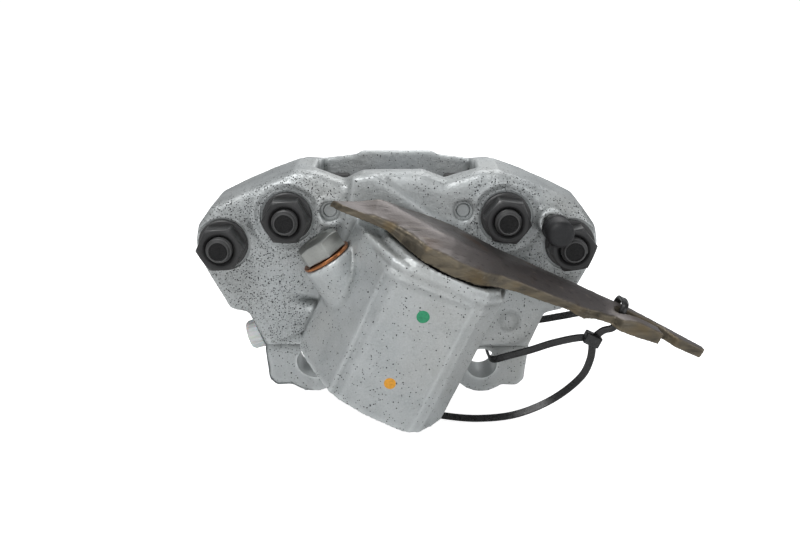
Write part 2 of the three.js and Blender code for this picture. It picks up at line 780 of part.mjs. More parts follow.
// ---- Parking-brake lever ---------------------------------------------------------------------------
// Seen along the cam shaft: the far edge from the tail to the tip, then the near edge back.
const tip = leverLength;
const leverPlan = [
  [-36, -54], [-22, -48.5], [-8, -46], [4, -43], [18, -41.5], [42, -43], [68, -42], [93, -42],
  [tip - 38, -41],
  [tip - 26, -43], [tip - 12, -47], [tip, -51], [tip, -56], [tip - 14, -56.5],
  [tip - 22, slotY - slotHalf + 5.5], [tip - 26, slotY + slotHalf], [tip - 43, slotY + slotHalf],
  [tip - 45, slotY], [tip - 43, slotY - slotHalf], [tip - 24, slotY - slotHalf], [tip - 23, -62],
  [tip - 34, -61.5], [tip - 42, -60], [tip - 45, -56], [94, -55], [84, -60], [70, -62],
  [55, -65], [44, -69],
  [34, -77], [camS + 4, -80], [8, -77], [0, -69], [-8, -63], [-18, -60.5], [-31, -59],
];
// Seen along the disc axis: the top edge, then the underside back.
const leverProfile = [
  [-36, leverTop - 8.5], [-28, leverTop - 5.5], [-17, leverTop - 0.5], [camS, leverTop + 1], [40, leverTop],
  [tip - 40, leverTop], [tip, leverTop - 0.5], [tip, leverTop - 5.2], [tip - 17, leverTop - 5],
  [tip - 23, leverBottom + 4], [tip - 34, leverBottom + 2.6], [tip - 42, leverBottom + 1.8],
  [tip - 45, leverBottom + 2.6], [tip - 58, leverBottom - 0.4], [tip - 66, leverBottom + 1],
  [50, leverBottom], [36, leverBottom - 1.4], [camS, leverBottom - 1.6], [2, leverBottom - 1.4],
  [-10, leverBottom + 0.5], [-20, leverBottom], [-30, leverBottom - 1], [-36, leverBottom - 2],
];
function lever() {
  const body = solid(column([...leverPlan].reverse(), leverBottom - 5, leverTop + 5)).intersect(
    solid(plate([...leverProfile].reverse(), -100, -20)),
  );
  return cut(body, solid(rod(camRadius + fit, v(camS, camY, 0), v(camS, camY, leverBottom + hubDepth))));
}
piece(leverFrame, "handbrake_lever", lever(), forgedSteel);

// ---- Fittings --------------------------------------------------------------------------------------
const plugHex = hexPrism(gaugePlugAcross, 0, gaugePlugHeight);
const feedPlug = join(
  solid(along(plugHex, on(gaugeAt, gaugeAxis, gaugeWasherThickness + fit), gaugeAxis)),
  solid(
    rod(plugThread, on(gaugeAt, gaugeAxis, -10), on(gaugeAt, gaugeAxis, gaugeWasherThickness + 1), roundSmall),
  ),
);
piece(caliper, "feed_plug", feedPlug, plainSteel);
const plugWasher = along(
  ring(plugThread + fit, gaugeWasherRadius, 0, gaugeWasherThickness, round),
  gaugeAt,
  gaugeAxis,
);
piece(caliper, "feed_plug_washer", plugWasher, copper);

const portPlug = turned([
  [0, -9], [portThread, -9], [portThread, fit], [portPlugRadius, fit],
  [portPlugRadius, portPlugLength - 1.2], [portPlugRadius - 1.2, portPlugLength], [0, portPlugLength],
], portAt, portAxis);
piece(caliper, "port_transport_plug", portPlug, whiteNylon);

const bleedCapAt = bleedSeat + 6;
const bleedScrew = turned([
  [0, 1], [3, 1], [3, bleedSeat + fit], [bleedAcross / 2, bleedSeat + fit],
  [bleedAcross / 2, bleedCapAt - 1], [2.4, bleedCapAt], [2.4, bleedCapAt + 8], [0, bleedCapAt + 8],
], bleedAt, bleedAxis);
piece(caliper, "bleed_screw", bleedScrew, plainSteel);
const capEnd = bleedCapAt + bleedCapLength;
const bleedCap = turned([
  [2.4 + fit, bleedCapAt + fit],
  [bleedCapRadius - 0.6, bleedCapAt + fit],
  [bleedCapRadius, bleedCapAt + 1.2],
  [bleedCapRadius, capEnd - 3],
  [bleedCapRadius - 1.6, capEnd - 0.8],
  [0, capEnd],
  [0, bleedCapAt + 8 + fit],
  [2.4 + fit, bleedCapAt + 8 + fit],
  [2.4 + fit, bleedCapAt + fit],
], bleedAt, bleedAxis);
piece(caliper, "bleed_cap", bleedCap, rubber);

// ---- Cable tie through the right mounting hole and round the lever ---------------------------------
// The strap's route: from its head through the hole, up behind the leg, over the far prong of the
// lever's fork, down through the slot and back to the head.
const tieHead = v(mountHalfSpacing + 49.5, -47, mountZ + 18.5);
const forkS = tip - 41;
const farProng = -41 + tieRadius + 0.9; // behind the far prong
const tieLoop = [
  tieHead.clone(),
  v(mountHalfSpacing + 45.5, -45, mountZ + 18.5),
  v(mountHalfSpacing + 33, -43, mountZ + 15.2),
  v(mountHalfSpacing + 22, -41, mountZ + 10.6),
  v(mountHalfSpacing + 12.5, -39, mountZ + 7),
  v(mountHalfSpacing + 5.2, lugFrontY - 3, mountZ + 3.4),
  v(mountHalfSpacing + 3.6, (lugFrontY + lugFaceY) / 2, mountZ + 2.2),
  v(mountHalfSpacing + 4.6, lugFaceY + 1.5, mountZ + 2.8),
  v(mountHalfSpacing + 9, lugFaceY + 4.4, mountZ + 5.5),
  v(mountHalfSpacing + 24, lugFaceY + 3.4, mountZ + 12.5),
  v(mountHalfSpacing + 33, lugFaceY - 4, mountZ + 17.2),
  v(outerX + 1, lugFaceY - 11, mountZ + 21.3),
  v(outerX + 8, lugFrontY, mountZ + 26),
  tilted(forkS, farProng, leverBottom + 3),
  tilted(forkS, farProng, leverTop),
  tilted(forkS, farProng - 1.2, leverTop + 2),
  tilted(forkS, -44.5, leverTop + 2.9),
  tilted(forkS, slotY + 1.4, leverTop + 2),
  tilted(forkS, slotY, leverTop),
  tilted(forkS, slotY, leverBottom),
  v(mountHalfSpacing + 54, -49, mountZ + 23.5),
  tieHead.clone(),
];
const tieTail = [
  tieHead.clone(),
  v(mountHalfSpacing + 50, -46, mountZ + 12.6),
  v(mountHalfSpacing + 49.6, -45, mountZ + 7.2),
  v(mountHalfSpacing + 46.7, -44, mountZ - 0.9),
  v(mountHalfSpacing + 34.7, -42, mountZ - 13.4),
  v(mountHalfSpacing + 17, -42, mountZ - 21.9),
  v(mountHalfSpacing - 1, -42, mountZ - 24.3),
  v(mountHalfSpacing - 17.5, -42, mountZ - 23),
  v(mountHalfSpacing - 33, -42, mountZ - 19.5),
];
function strap(points, steps) {
  const route = new THREE.CatmullRomCurve3(points, false, "centripetal");
  const section = new THREE.Shape();
  section.absarc(0, 0, tieRadius, 0, 2 * Math.PI);
  return new THREE.ExtrudeGeometry(section, { steps, curveSegments: 4, extrudePath: route });
}
const tieHeadBlock = box(-4, 4, -3, 3, -2.8, 2.8).applyMatrix4(tiltMatrix);
tieHeadBlock.translate(tieHead.x, tieHead.y, tieHead.z);
const cableTie = join(solid(strap(tieLoop, 56)), solid(strap(tieTail, 24)), solid(tieHeadBlock));
piece(caliper, "cable_tie", cableTie, blackNylon);

export default part;
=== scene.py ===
import math

import bmesh
import bpy
import numpy as np
from mathutils import Matrix, Vector, noise


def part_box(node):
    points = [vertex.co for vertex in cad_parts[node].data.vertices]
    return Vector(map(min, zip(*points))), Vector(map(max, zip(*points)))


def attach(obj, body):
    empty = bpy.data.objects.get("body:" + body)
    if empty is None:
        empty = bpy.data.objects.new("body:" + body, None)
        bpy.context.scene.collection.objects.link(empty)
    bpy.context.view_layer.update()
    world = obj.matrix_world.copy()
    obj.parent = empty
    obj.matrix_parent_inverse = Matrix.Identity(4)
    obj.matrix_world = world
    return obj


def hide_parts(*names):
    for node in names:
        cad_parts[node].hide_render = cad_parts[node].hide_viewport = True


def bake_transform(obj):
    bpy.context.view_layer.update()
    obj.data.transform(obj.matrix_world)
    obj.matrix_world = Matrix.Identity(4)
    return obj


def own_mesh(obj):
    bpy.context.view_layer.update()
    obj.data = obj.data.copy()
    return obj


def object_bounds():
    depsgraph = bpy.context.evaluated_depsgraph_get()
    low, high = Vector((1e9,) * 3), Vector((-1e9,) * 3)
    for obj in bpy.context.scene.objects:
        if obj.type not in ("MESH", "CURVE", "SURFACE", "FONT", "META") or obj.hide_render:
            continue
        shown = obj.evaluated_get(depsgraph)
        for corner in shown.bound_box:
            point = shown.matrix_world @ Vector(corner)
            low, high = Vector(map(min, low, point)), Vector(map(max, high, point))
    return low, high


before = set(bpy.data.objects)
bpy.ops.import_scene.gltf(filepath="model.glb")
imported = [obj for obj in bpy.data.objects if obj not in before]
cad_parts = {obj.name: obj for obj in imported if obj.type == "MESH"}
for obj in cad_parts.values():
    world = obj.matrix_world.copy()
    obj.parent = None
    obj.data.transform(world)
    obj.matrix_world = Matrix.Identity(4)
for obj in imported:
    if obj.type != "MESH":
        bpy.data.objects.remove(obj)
cad_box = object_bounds()

# ---- Camera and lamps --------------------------------------------------------------------------------
# A workshop catalogue view: the caliper from the lever side and a little above, in the soft light of
# large lamps. They aim at the hub: the middle plane of the disc, level with the outer bridge bolts.
def middle(node):
    low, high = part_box(node)
    return (low + high) / 2


disc_plane = (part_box("pad_lining_lever_side")[1].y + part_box("pad_lining_outer")[0].y) / 2
hub = Vector((0, disc_plane, middle("bridge_nut_4").z))

camera = bpy.data.objects.new("camera", bpy.data.cameras.new("camera"))
camera.location = (0.001577, -0.44597, 0.17903)
camera.rotation_euler = (math.radians(73), 0, 0)
camera.data.lens = 42.75
camera.data.sensor_width = 36
camera.data.clip_start = 0.01
bpy.context.scene.collection.objects.link(camera)
bpy.context.scene.camera = camera
bpy.context.scene.view_settings.view_transform = "Standard"


def add(tree, kind, sockets=None, **settings):
    """A node with its settings, and its inputs given as numbers or joined to other nodes."""
    made = tree.nodes.new(kind)
    for key, value in settings.items():
        setattr(made, key, value)
    for key, value in (sockets or {}).items():
        if isinstance(value, bpy.types.NodeSocket):
            tree.links.new(value, made.inputs[key])
        else:
            made.inputs[key].default_value = value
    return made


def between(tree, value, low, high, start=0.0, end=1.0):
    """The value, drawn from one range to another and held at the ends."""
    sockets = {"Value": value, "From Min": low, "From Max": high, "To Min": start, "To Max": end}
    return add(tree, "ShaderNodeMapRange", sockets).outputs["Result"]


# The room is dim on the caliper, and white behind it
world = bpy.data.worlds.new("studio")
world.use_nodes = True
air = world.node_tree.nodes["Background"]
air.inputs["Color"].default_value = (0.96, 0.98, 1.0, 1)
seen = add(world.node_tree, "ShaderNodeLightPath").outputs["Is Camera Ray"]
world.node_tree.links.new(between(world.node_tree, seen, 0, 1, 0.30, 1.1), air.inputs["Strength"])
bpy.context.scene.world = world

for name, where, size, power in (
    ("key_lamp", (-0.30, -0.40, 0.75), 0.40, 3.6),
    ("back_lamp", (0.15, 0.60, 0.70), 0.60, 2.4),
    ("side_lamp", (0.80, -0.30, 0.30), 0.40, 1.0),
    ("front_lamp", (0.10, -0.90, 0.30), 0.60, 1.2),
):
    lamp = bpy.data.objects.new(name, bpy.data.lights.new(name, "AREA"))
    lamp.data.shape = "DISK"
    lamp.data.size = size
    lamp.data.energy = power
    lamp.location = where
    lamp.rotation_euler = (hub - Vector(where)).to_track_quat("-Z", "Y").to_euler()
    bpy.context.scene.collection.objects.link(lamp)


# ---- Floor -------------------------------------------------------------------------------------------
# A sheet of white paper under the caliper, level with its lowest point.
def grain(tree, scale, detail=3.0, stretch=(1, 1, 1)):
    """Noise in the piece's own space, so many per metre, drawn out along an axis if asked."""
    at = add(tree, "ShaderNodeTexCoord").outputs["Object"]
    spread = add(tree, "ShaderNodeMapping", {"Vector": at, "Scale": stretch}).outputs[0]
    sockets = {"Vector": spread, "Scale": scale, "Detail": detail}
    return add(tree, "ShaderNodeTexNoise", sockets).outputs["Fac"]


def blended(tree, amount, first, second):
    """One colour laid over another by an amount. A colour is three numbers or another node's."""
    def colour(value):
        return value if isinstance(value, bpy.types.NodeSocket) else (*value, 1)
    made = add(tree, "ShaderNodeMix", {0: amount, 6: colour(first), 7: colour(second)}, data_type="RGBA")
    return made.outputs[2]


def finish(name, **sockets):
    """A material with its even values set on the shader itself."""
    made = bpy.data.materials.new(name)
    made.use_nodes = True
    shader = made.node_tree.nodes["Principled BSDF"]
    for key, value in sockets.items():
        shader.inputs[key.replace("_", " ")].default_value = value
    return made, made.node_tree, shader


def shaded(mesh, angle=32):
    """Smooth faces, with the edges sharper than the angle kept sharp."""
    shape = bmesh.new()
    shape.from_mesh(mesh)
    limit = math.radians(angle)
    for edge in shape.edges:
        edge.smooth = len(edge.link_faces) == 2 and edge.calc_face_angle(0) < limit
    for face in shape.faces:
        face.smooth = True
    shape.to_mesh(mesh)
    shape.free()


def placed(name, mesh):
    piece = bpy.data.objects.new(name, mesh)
    bpy.context.scene.collection.objects.link(piece)
    return piece


def made_of(name, points, faces, material, angle=32):
    """A piece from its corners and faces, turned to face outwards."""
    mesh = bpy.data.meshes.new(name)
    mesh.from_pydata([tuple(point) for point in points], [], faces)
    shape = bmesh.new()
    shape.from_mesh(mesh)
    bmesh.ops.remove_doubles(shape, verts=shape.verts, dist=1e-7)
    bmesh.ops.recalc_face_normals(shape, faces=shape.faces)
    shape.to_mesh(mesh)
    shape.free()
    mesh.materials.append(material)
    shaded(mesh, angle)
    return placed(name, mesh)


paper, tree, shader = finish("white_paper", Metallic=0.0, Roughness=0.9)
tint = blended(tree, grain(tree, 3), (0.90, 0.90, 0.90), (0.94, 0.94, 0.94))
tree.links.new(tint, shader.inputs["Base Color"])
shader.inputs["Emission Color"].default_value = (1, 1, 1, 1)
seen = add(tree, "ShaderNodeLightPath").outputs["Is Camera Ray"]
tree.links.new(between(tree, seen, 0, 1, 0, 0.85), shader.inputs["Emission Strength"])
level, reach = cad_box[0][2] - 0.0002, 4.0
corners = [(x, y, level) for x, y in ((-reach, -reach), (reach, -reach), (reach, reach), (-reach, reach))]
made_of("paper_sweep", corners, [(0, 1, 2, 3)], paper)


# ---- Lever-side half ---------------------------------------------------------------------------------
# Sand-cast iron, shot-blasted, machined where the bolts, pistons, pins and mounting lugs sit, then zinc
# plated all over. The skin keeps a fine grain with open pores, darkest where the bolts are.
mm = 0.001
lean = math.radians(25)
across = Vector((math.cos(lean), 0, -math.sin(lean)))
deep = Vector((0, 1, 0))
upright = Vector((math.sin(lean), 0, math.cos(lean)))


def place(x, y, z):
    """A place measured from the hub, in millimetres."""
    return Vector((x, y, z)) * mm + hub


def leaning(s, y, a):
    """The same on the slanted housing: across it, along the disc axis, and up its cam shaft."""
    return (across * s + deep * y + upright * a) * mm + hub


def reckoned(tree, operation, first, second=0.0, third=0.0):
    return add(tree, "ShaderNodeMath", {0: first, 1: second, 2: third}, operation=operation).outputs[0]


def summed(tree, first, share, second, other_share):
    """Two patterns added together, each by its share."""
    first = reckoned(tree, "MULTIPLY", first, share)
    return reckoned(tree, "ADD", first, reckoned(tree, "MULTIPLY", second, other_share))


def marked(tree, name):
    return add(tree, "ShaderNodeAttribute", attribute_name=name).outputs["Fac"]


def surface(tree, shader, colour, roughness, height, depth):
    """Joins colour, roughness and relief to the shader. The depth of the relief is in millimetres."""
    tree.links.new(colour, shader.inputs["Base Color"])
    tree.links.new(roughness, shader.inputs["Roughness"])
    relief = add(tree, "ShaderNodeBump", {"Height": height, "Distance": depth * mm, "Strength": 1.0})
    tree.links.new(relief.outputs[0], shader.inputs["Normal"])


def zinc(name, skin, fresh):
    """Zinc plating over a cast or a machined skin: grain height in millimetres, and how clean it is."""
    made, tree, shader = finish(name, Metallic=0.55)
    mottle, cloud = grain(tree, 75, 4), grain(tree, 22, 3)
    fine, coarse = grain(tree, 1300, 3), grain(tree, 420, 3)
    edge, grime = marked(tree, "edge"), marked(tree, "grime")
    base = blended(tree, between(tree, mottle, 0.35, 0.65), (0.40, 0.425, 0.43), (0.49, 0.515, 0.52))
    base = blended(tree, between(tree, cloud, 0.45, 0.7, 0, 0.6), base, (0.43, 0.43, 0.41))
    base = blended(tree, between(tree, fine, 0.35, 0.65, 0, 0.3), base, (0.60, 0.62, 0.62))
    # Painted highlight: the convex edges are painted a light zinc, as if catching the light.
    base = blended(tree, between(tree, edge, 0.1, 0.9, 0, 0.6), base, (0.78, 0.81, 0.81))
    # Painted shade: the hollows and inner corners are painted dark.
    base = blended(tree, between(tree, edge, -0.1, -0.9, 0, 0.8), base, (0.13, 0.14, 0.135))
    soot = reckoned(tree, "MULTIPLY", between(tree, grain(tree, 900, 4), 0.46, 0.62), grime)
    base = blended(tree, reckoned(tree, "MULTIPLY", soot, 0.24 * (1 - fresh)), base, (0.10, 0.105, 0.10))
    # Open pores of three sizes, each a dot in a few of its cells, and in more of them where it is grimy
    at = add(tree, "ShaderNodeTexCoord").outputs["Object"]
    pores = None
    for scale, share, size in ((330, 0.10, 0.16), (700, 0.15, 0.26), (1300, 0.20, 0.36)):
        cells = add(tree, "ShaderNodeTexVoronoi", {"Vector": at, "Scale": scale, "Randomness": 1.0})
        chosen = add(tree, "ShaderNodeSeparateColor", {"Color": cells.outputs["Color"]}).outputs[0]
        odds = reckoned(tree, "MULTIPLY_ADD", grime, share * 2.6, share * 0.30)
        dot = between(tree, cells.outputs["Distance"], size, size * 0.55)
        pore = reckoned(tree, "MULTIPLY", reckoned(tree, "LESS_THAN", chosen, odds), dot)
        pores = pore if pores is None else reckoned(tree, "MAXIMUM", pores, pore)
    pores = reckoned(tree, "MULTIPLY", pores, 1 - fresh)
    base = blended(tree, pores, base, (0.018, 0.018, 0.018))
    rough = summed(tree, between(tree, mottle, 0.3, 0.7, 0.40, 0.56), 1.0, pores, 0.3)
    height = summed(tree, summed(tree, fine, 0.55, coarse, 1.0), 1.0, pores, -1.6)
    surface(tree, shader, base, rough, height, skin)
    return made


zinc_cast = zinc("zinc_cast", 0.30, 0.0)
zinc_machined = zinc("zinc_machined", 0.05, 0.7)


def settled(piece, angle=None):
    """The piece with its modifiers made into plain mesh."""
    result = piece.evaluated_get(bpy.context.evaluated_depsgraph_get())
    mesh = bpy.data.meshes.new_from_object(result)
    piece.modifiers.clear()
    piece.data = mesh
    if angle:
        shaded(mesh, angle)
    return piece


def turned(name, profile, start, axis, material, segments=72, turn=0.0, angle=32):
    """A piece turned about an axis: pairs of radius and place along the axis, in millimetres. The
    profile ends on the axis at both ends or runs back to its start. Either may depend on the bearing."""
    axis = Vector(axis).normalized()
    side = axis.orthogonal().normalized() if abs(axis.y) < 0.9 else Vector((1, 0, 0))
    side = (side - axis * side.dot(axis)).normalized()
    side.rotate(Matrix.Rotation(turn, 3, axis))
    other = axis.cross(side)
    points = []
    for radius, along in profile:
        for i in range(segments):
            bearing = 2 * math.pi * i / segments
            r = radius(bearing) if callable(radius) else radius
            y = along(bearing) if callable(along) else along
            spoke = side * math.cos(bearing) + other * math.sin(bearing)
            points.append(start + (axis * y + spoke * r) * mm)
    closed = profile[0][0] != 0
    faces = []
    for low in range(len(profile) if closed else len(profile) - 1):
        high = (low + 1) % len(profile)
        for i in range(segments):
            j = (i + 1) % segments
            faces.append([ring * segments + k for ring, k in ((low, i), (low, j), (high, j), (high, i))])
    return made_of(name, points, faces, material, angle)


def rod(radius, at, axis, start, stop, segments=48):
    """A plain cylinder along an axis, to fill or to cut a casting."""
    profile = [(0, start), (radius, start), (radius, stop), (0, stop)]
    return turned("rod", profile, at, axis, zinc_cast, segments)


def slab(name, outline, depth, outward, material):
    """A prism with its outline given as points, drawn out by a depth along a direction."""
    count = len(outline)
    step = Vector(outward).normalized() * depth * mm
    points = [Vector(p) for p in outline] + [Vector(p) + step for p in outline]
    faces = [tuple(range(count)), tuple(range(2 * count - 1, count - 1, -1))]
    faces += [(i, i + count, (i + 1) % count + count, (i + 1) % count) for i in range(count)]
    return made_of(name, points, faces, material)


def milled(y, low, high, depth, outward):
    """A milling cut across the whole width of a casting, between two levels."""
    corners = ((-120, low), (120, low), (120, high), (-120, high))
    return slab("milled", [place(x, y, z) for x, z in corners], depth, outward, zinc_cast)


def cad_copy(name, node, *materials):
    """A copy of a CAD node with its doubled corners merged."""
    shape = bmesh.new()
    shape.from_mesh(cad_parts[node].data)
    bmesh.ops.remove_doubles(shape, verts=shape.verts, dist=1e-6)
    mesh = bpy.data.meshes.new(name)
    shape.to_mesh(mesh)
    shape.free()
    mesh.materials.clear()
    for material in materials:
        mesh.materials.append(material)
    return placed(name, mesh)


def joined(name, *pieces):
    """Several pieces as one, in the order given."""
    shape = bmesh.new()
    for piece in pieces:
        shape.from_mesh(piece.data)
    mesh = bpy.data.meshes.new(name)
    for material in pieces[0].data.materials:
        mesh.materials.append(material)
    shape.to_mesh(mesh)
    shape.free()
    for piece in pieces:
        bpy.data.objects.remove(piece)
    return placed(name, mesh)


def cut_from(piece, cutters, solver="MANIFOLD"):
    """Cuts each cutter from the piece."""
    for cutter in cutters:
        work = piece.modifiers.new("cut", "BOOLEAN")
        work.operation = "DIFFERENCE"
        work.solver = solver
        work.object = cutter
    settled(piece)
    for cutter in cutters:
        bpy.data.objects.remove(cutter)


def cast_skin(piece, voxel, passes):
    """The rounded corners of a casting: rebuilt at one even size, then smoothed."""
    work = piece.modifiers.new("skin", "REMESH")
    work.mode = "VOXEL"
    work.voxel_size = voxel * mm
    smoother = piece.modifiers.new("smooth", "SMOOTH")
    smoother.factor = 0.5
    smoother.iterations = passes
    return settled(piece)


def rows_of(mesh, field):
    """The places or the normals of a mesh's points."""
    rows = np.zeros(len(mesh.vertices) * 3)
    mesh.vertices.foreach_get(field, rows)
    return rows.reshape(-1, 3)


def measured(co):
    """Points from the hub in millimetres, and how far they lie across and up the slanted housing."""
    own = (co - np.array(hub)) / mm
    return own, own @ np.array(across), own @ np.array(upright)


def reshaped(piece, co):
    piece.data.vertices.foreach_set("co", co.ravel())
    piece.data.update()


def smoothly(value, low, high):
    t = np.clip((value - low) / (high - low), 0, 1)
    return t * t * (3 - 2 * t)


def uneven(co, *waves):
    """The slight waviness of sand or of dies: the size and the depth of each wave, in millimetres."""
    total = np.zeros(len(co))
    for size, depth in waves:
        total += np.array([noise.noise(Vector(p) / (size * mm)) for p in co]) * depth * mm
    return total


def mark(mesh, name, values):
    marks = mesh.attributes.new(name, "FLOAT", "POINT")
    marks.data.foreach_set("value", values.astype(np.float32))


def edge_marks(mesh, passes=3):
    """Marks how far each point stands out (1) or lies in a corner (-1), for painted highlights and painted
    shade.
    """
    co, facing = rows_of(mesh, "co"), rows_of(mesh, "normal")
    pairs = np.zeros(len(mesh.edges) * 2, int)
    mesh.edges.foreach_get("vertices", pairs)
    a, b = pairs.reshape(-1, 2).T
    count = np.maximum(np.bincount(np.concatenate((a, b)), minlength=len(co)), 1).astype(float)
    bend = np.zeros(len(co))
    gap = co[b] - co[a]
    length = np.maximum(np.linalg.norm(gap, axis=1), 1e-6)
    np.add.at(bend, a, -(gap * facing[a]).sum(1) / length)
    np.add.at(bend, b, (gap * facing[b]).sum(1) / length)
    bend /= count
    for _ in range(passes):
        spread = np.zeros(len(co))
        np.add.at(spread, a, bend[b])
        np.add.at(spread, b, bend[a])
        bend = 0.5 * bend + 0.5 * spread / count
    mark(mesh, "edge", np.clip(bend * 7, -1, 1))


def machined(piece, cutters):
    """Cuts the machined places, and gives the new faces the machined finish."""
    for part in (piece, *cutters):
        part.data.materials.clear()
        part.data.materials.append(zinc_cast)
        part.data.materials.append(zinc_machined)
    for cutter in cutters:
        cutter.data.polygons.foreach_set("material_index", [1] * len(cutter.data.polygons))
    cut_from(piece, cutters)


def plated(piece, grime_at):
    """Marks for the plating: edges and corners for painted highlights and painted shade, and where soot and
    open pores gather.
    """
    edge_marks(piece.data, 5)
    own, _, _ = measured(rows_of(piece.data, "co"))
    mark(piece.data, "grime", np.clip(grime_at(own), 0, 1))
    shaded(piece.data, 40)


def kept(piece, body, slot, *nodes):
    """Hands a finished piece to the body it moves with, in place of the CAD nodes it stands for."""
    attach(piece, body)
    if nodes:
        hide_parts(*nodes)
    return piece


nuts_at = [middle(f"bridge_nut_{n}") for n in (1, 2, 3, 4)]
bolts_at = [((spot.x - hub.x) / mm, (spot.z - hub.z) / mm) for spot in nuts_at]
front, seat_front = -36.0, -34.0
seat_radius, bolt_hole = 12.6, 6.5
mount_x, mount_z, mount_hole = 41.0, -61.0, 7.5
lug_face, lug_front = -12.0, -32.0
pin_x, pin_z, pin_hole = 30.5, 15.5, 3.3
piston_z = -24.0
piston_at = place(0, 0, piston_z)
bore, boot_recess = 21.3, 28.3
cam_at = leaning(18, -64, 0)
gauge_at, gauge_axis = place(-31, -50, -2.5), Vector((-0.52, 0, 0.854)).normalized()
port_at, port_axis = place(-63, -23, -47), Vector((-0.95, 0, -0.31)).normalized()
bleed_at, bleed_axis = place(69.4, -30, 12.9), Vector((0.078, -0.993, -0.087)).normalized()
cast_voxel, cast_passes = 1.1, 5
sand_waves = ((14, 0.16), (4.5, 0.07))

# The machined places are filled first, so that the cast skin closes over them and the cuts are crisp
lever_side = cad_copy("lever_side_casting", "lever_side_half")
fills = [rod(seat_radius - 0.3, place(x, 0, z), deep, front, front + 4) for x, z in bolts_at]
for side in (-1, 1):
    fills.append(rod(mount_hole + 2, place(side * mount_x, 0, mount_z), deep, lug_front, lug_face + 2))
lever_side = cast_skin(joined("lever_side_casting", lever_side, *fills), cast_voxel, cast_passes)

# The panel on the front of the housing lies a little lower than its frame, and a groove runs under its lip
co, facing = rows_of(lever_side.data, "co"), rows_of(lever_side.data, "normal")
own, s_at, a_at = measured(co)
x_at, y_at, z_at = own.T
panel = (
    smoothly(s_at, -4.4 - 0.02 * a_at, -3.0 - 0.02 * a_at)
    * smoothly(-s_at, -36.4, -35.0)
    * smoothly(-a_at, 2.4 - 0.055 * s_at, 3.8 - 0.055 * s_at)
    * (y_at < -76)
)
move = np.zeros_like(co)
move[:, 1] += panel * 1.25 * mm
groove = np.exp(-(((a_at - 0.9) / 1.25) ** 2)) * smoothly(-y_at, 58, 64)
outwards = facing - np.outer(facing @ np.array(upright), np.array(upright))
move -= outwards * (groove * 0.8 * mm)[:, None]

# The left leg slopes back, steps down along a slant above its lug, and has a pocket beside the housing
forward = (facing[:, 1] < -0.25) & (y_at > -42) & (y_at < -29)
left_leg = forward & (x_at < -36) & (x_at > -90)
below = -(z_at + 49 - (x_at + 58) * 0.477) / 1.108
step_back = smoothly(below, -0.2, 1.3) * smoothly(x_at, -68, -62) * left_leg
slope = np.clip(-z_at - 25.0 + 0.06 * (x_at + 86), 0, 30) * 0.07 * left_leg * smoothly(-x_at, 38, 44)
hollow = np.exp(-((x_at + 38) / 8.5) ** 2 - ((z_at + 29.5 + (x_at + 38) * 0.15) / 2.6) ** 2)
pushed = np.maximum(y_at + slope, y_at + step_back * np.maximum(-33.2 - y_at, 0))
pushed += 4.2 * hollow * forward * (x_at > -56)
move[:, 1] += np.where(left_leg, np.minimum(pushed, -28) - y_at, 0) * mm

# A raised rim runs round each inner nut, and the face dips between the bolts
flat_front = (np.abs(y_at - front) < 2.2) & (facing[:, 1] < -0.3)
for x, z in bolts_at[1:3]:
    rim = np.exp(-(((np.hypot(x_at - x, z_at - z) - seat_radius - 3.4) / 1.4) ** 2)) * flat_front
    move[:, 1] -= rim * 0.9 * mm
dip = smoothly(-np.abs(np.abs(x_at) - 65), -9, -4) * smoothly(z_at, -14, -8)
move[:, 1] += flat_front * dip * smoothly(-z_at, -12, -7) * 0.8 * mm
reshaped(lever_side, co + move + facing * uneven(co, *sand_waves)[:, None])

holes = [
    milled(-0.15, -90, 60, 20, deep),
    milled(lug_face, -110, -45.6, 40, deep),
    rod(bore, piston_at, deep, -48, -15, 96),
    rod(boot_recess, piston_at, deep, -26.7, -15, 96),
    rod(10.6, cam_at, upright, -39, 13, 64),
    rod(13.2, cam_at, upright, 0.5, 13, 64),
    rod(4.3, piston_at, deep, -62, -40),
    rod(12.2, gauge_at, gauge_axis, -0.3, 14, 64),
    rod(6.3, gauge_at, gauge_axis, -12, 2),
    rod(8.2, port_at, port_axis, 0, 14),
    rod(5.3, port_at, port_axis, -12, 3),
    rod(3.5, bleed_at, bleed_axis, 0, 15),
]
for x, z in bolts_at:
    holes.append(rod(seat_radius, place(x, 0, z), deep, -62, seat_front, 72))
    holes.append(rod(bolt_hole, place(x, 0, z), deep, -40, 5))
for side in (-1, 1):
    holes.append(rod(mount_hole, place(side * mount_x, 0, mount_z), deep, -45, 5, 64))
    holes.append(rod(pin_hole, place(side * pin_x, 0, pin_z), deep, -50, 5))
    holes.append(rod(4.6, place(side * pin_x, 0, pin_z), deep, -45, front + 2))
machined(lever_side, holes)


def lever_half_grime(own):
    near = np.zeros(len(own))
    for x, z in bolts_at:
        distance = np.hypot(own[:, 0] - x, own[:, 2] - z)
        near = np.maximum(near, smoothly(-distance, -32, -13) * (1.0 if x < 0 else 0.7))
    near *= smoothly(-own[:, 1], 26, 36) * smoothly(own[:, 1], -50, -44)
    leg = smoothly(-own[:, 0], 36, 46) * smoothly(-own[:, 2], 8, 20) * smoothly(own[:, 2], -62, -48)
    return np.maximum(near, 0.7 * leg) + 0.10


plated(lever_side, lever_half_grime)
kept(lever_side, "caliper", "casting", "lever_side_half")


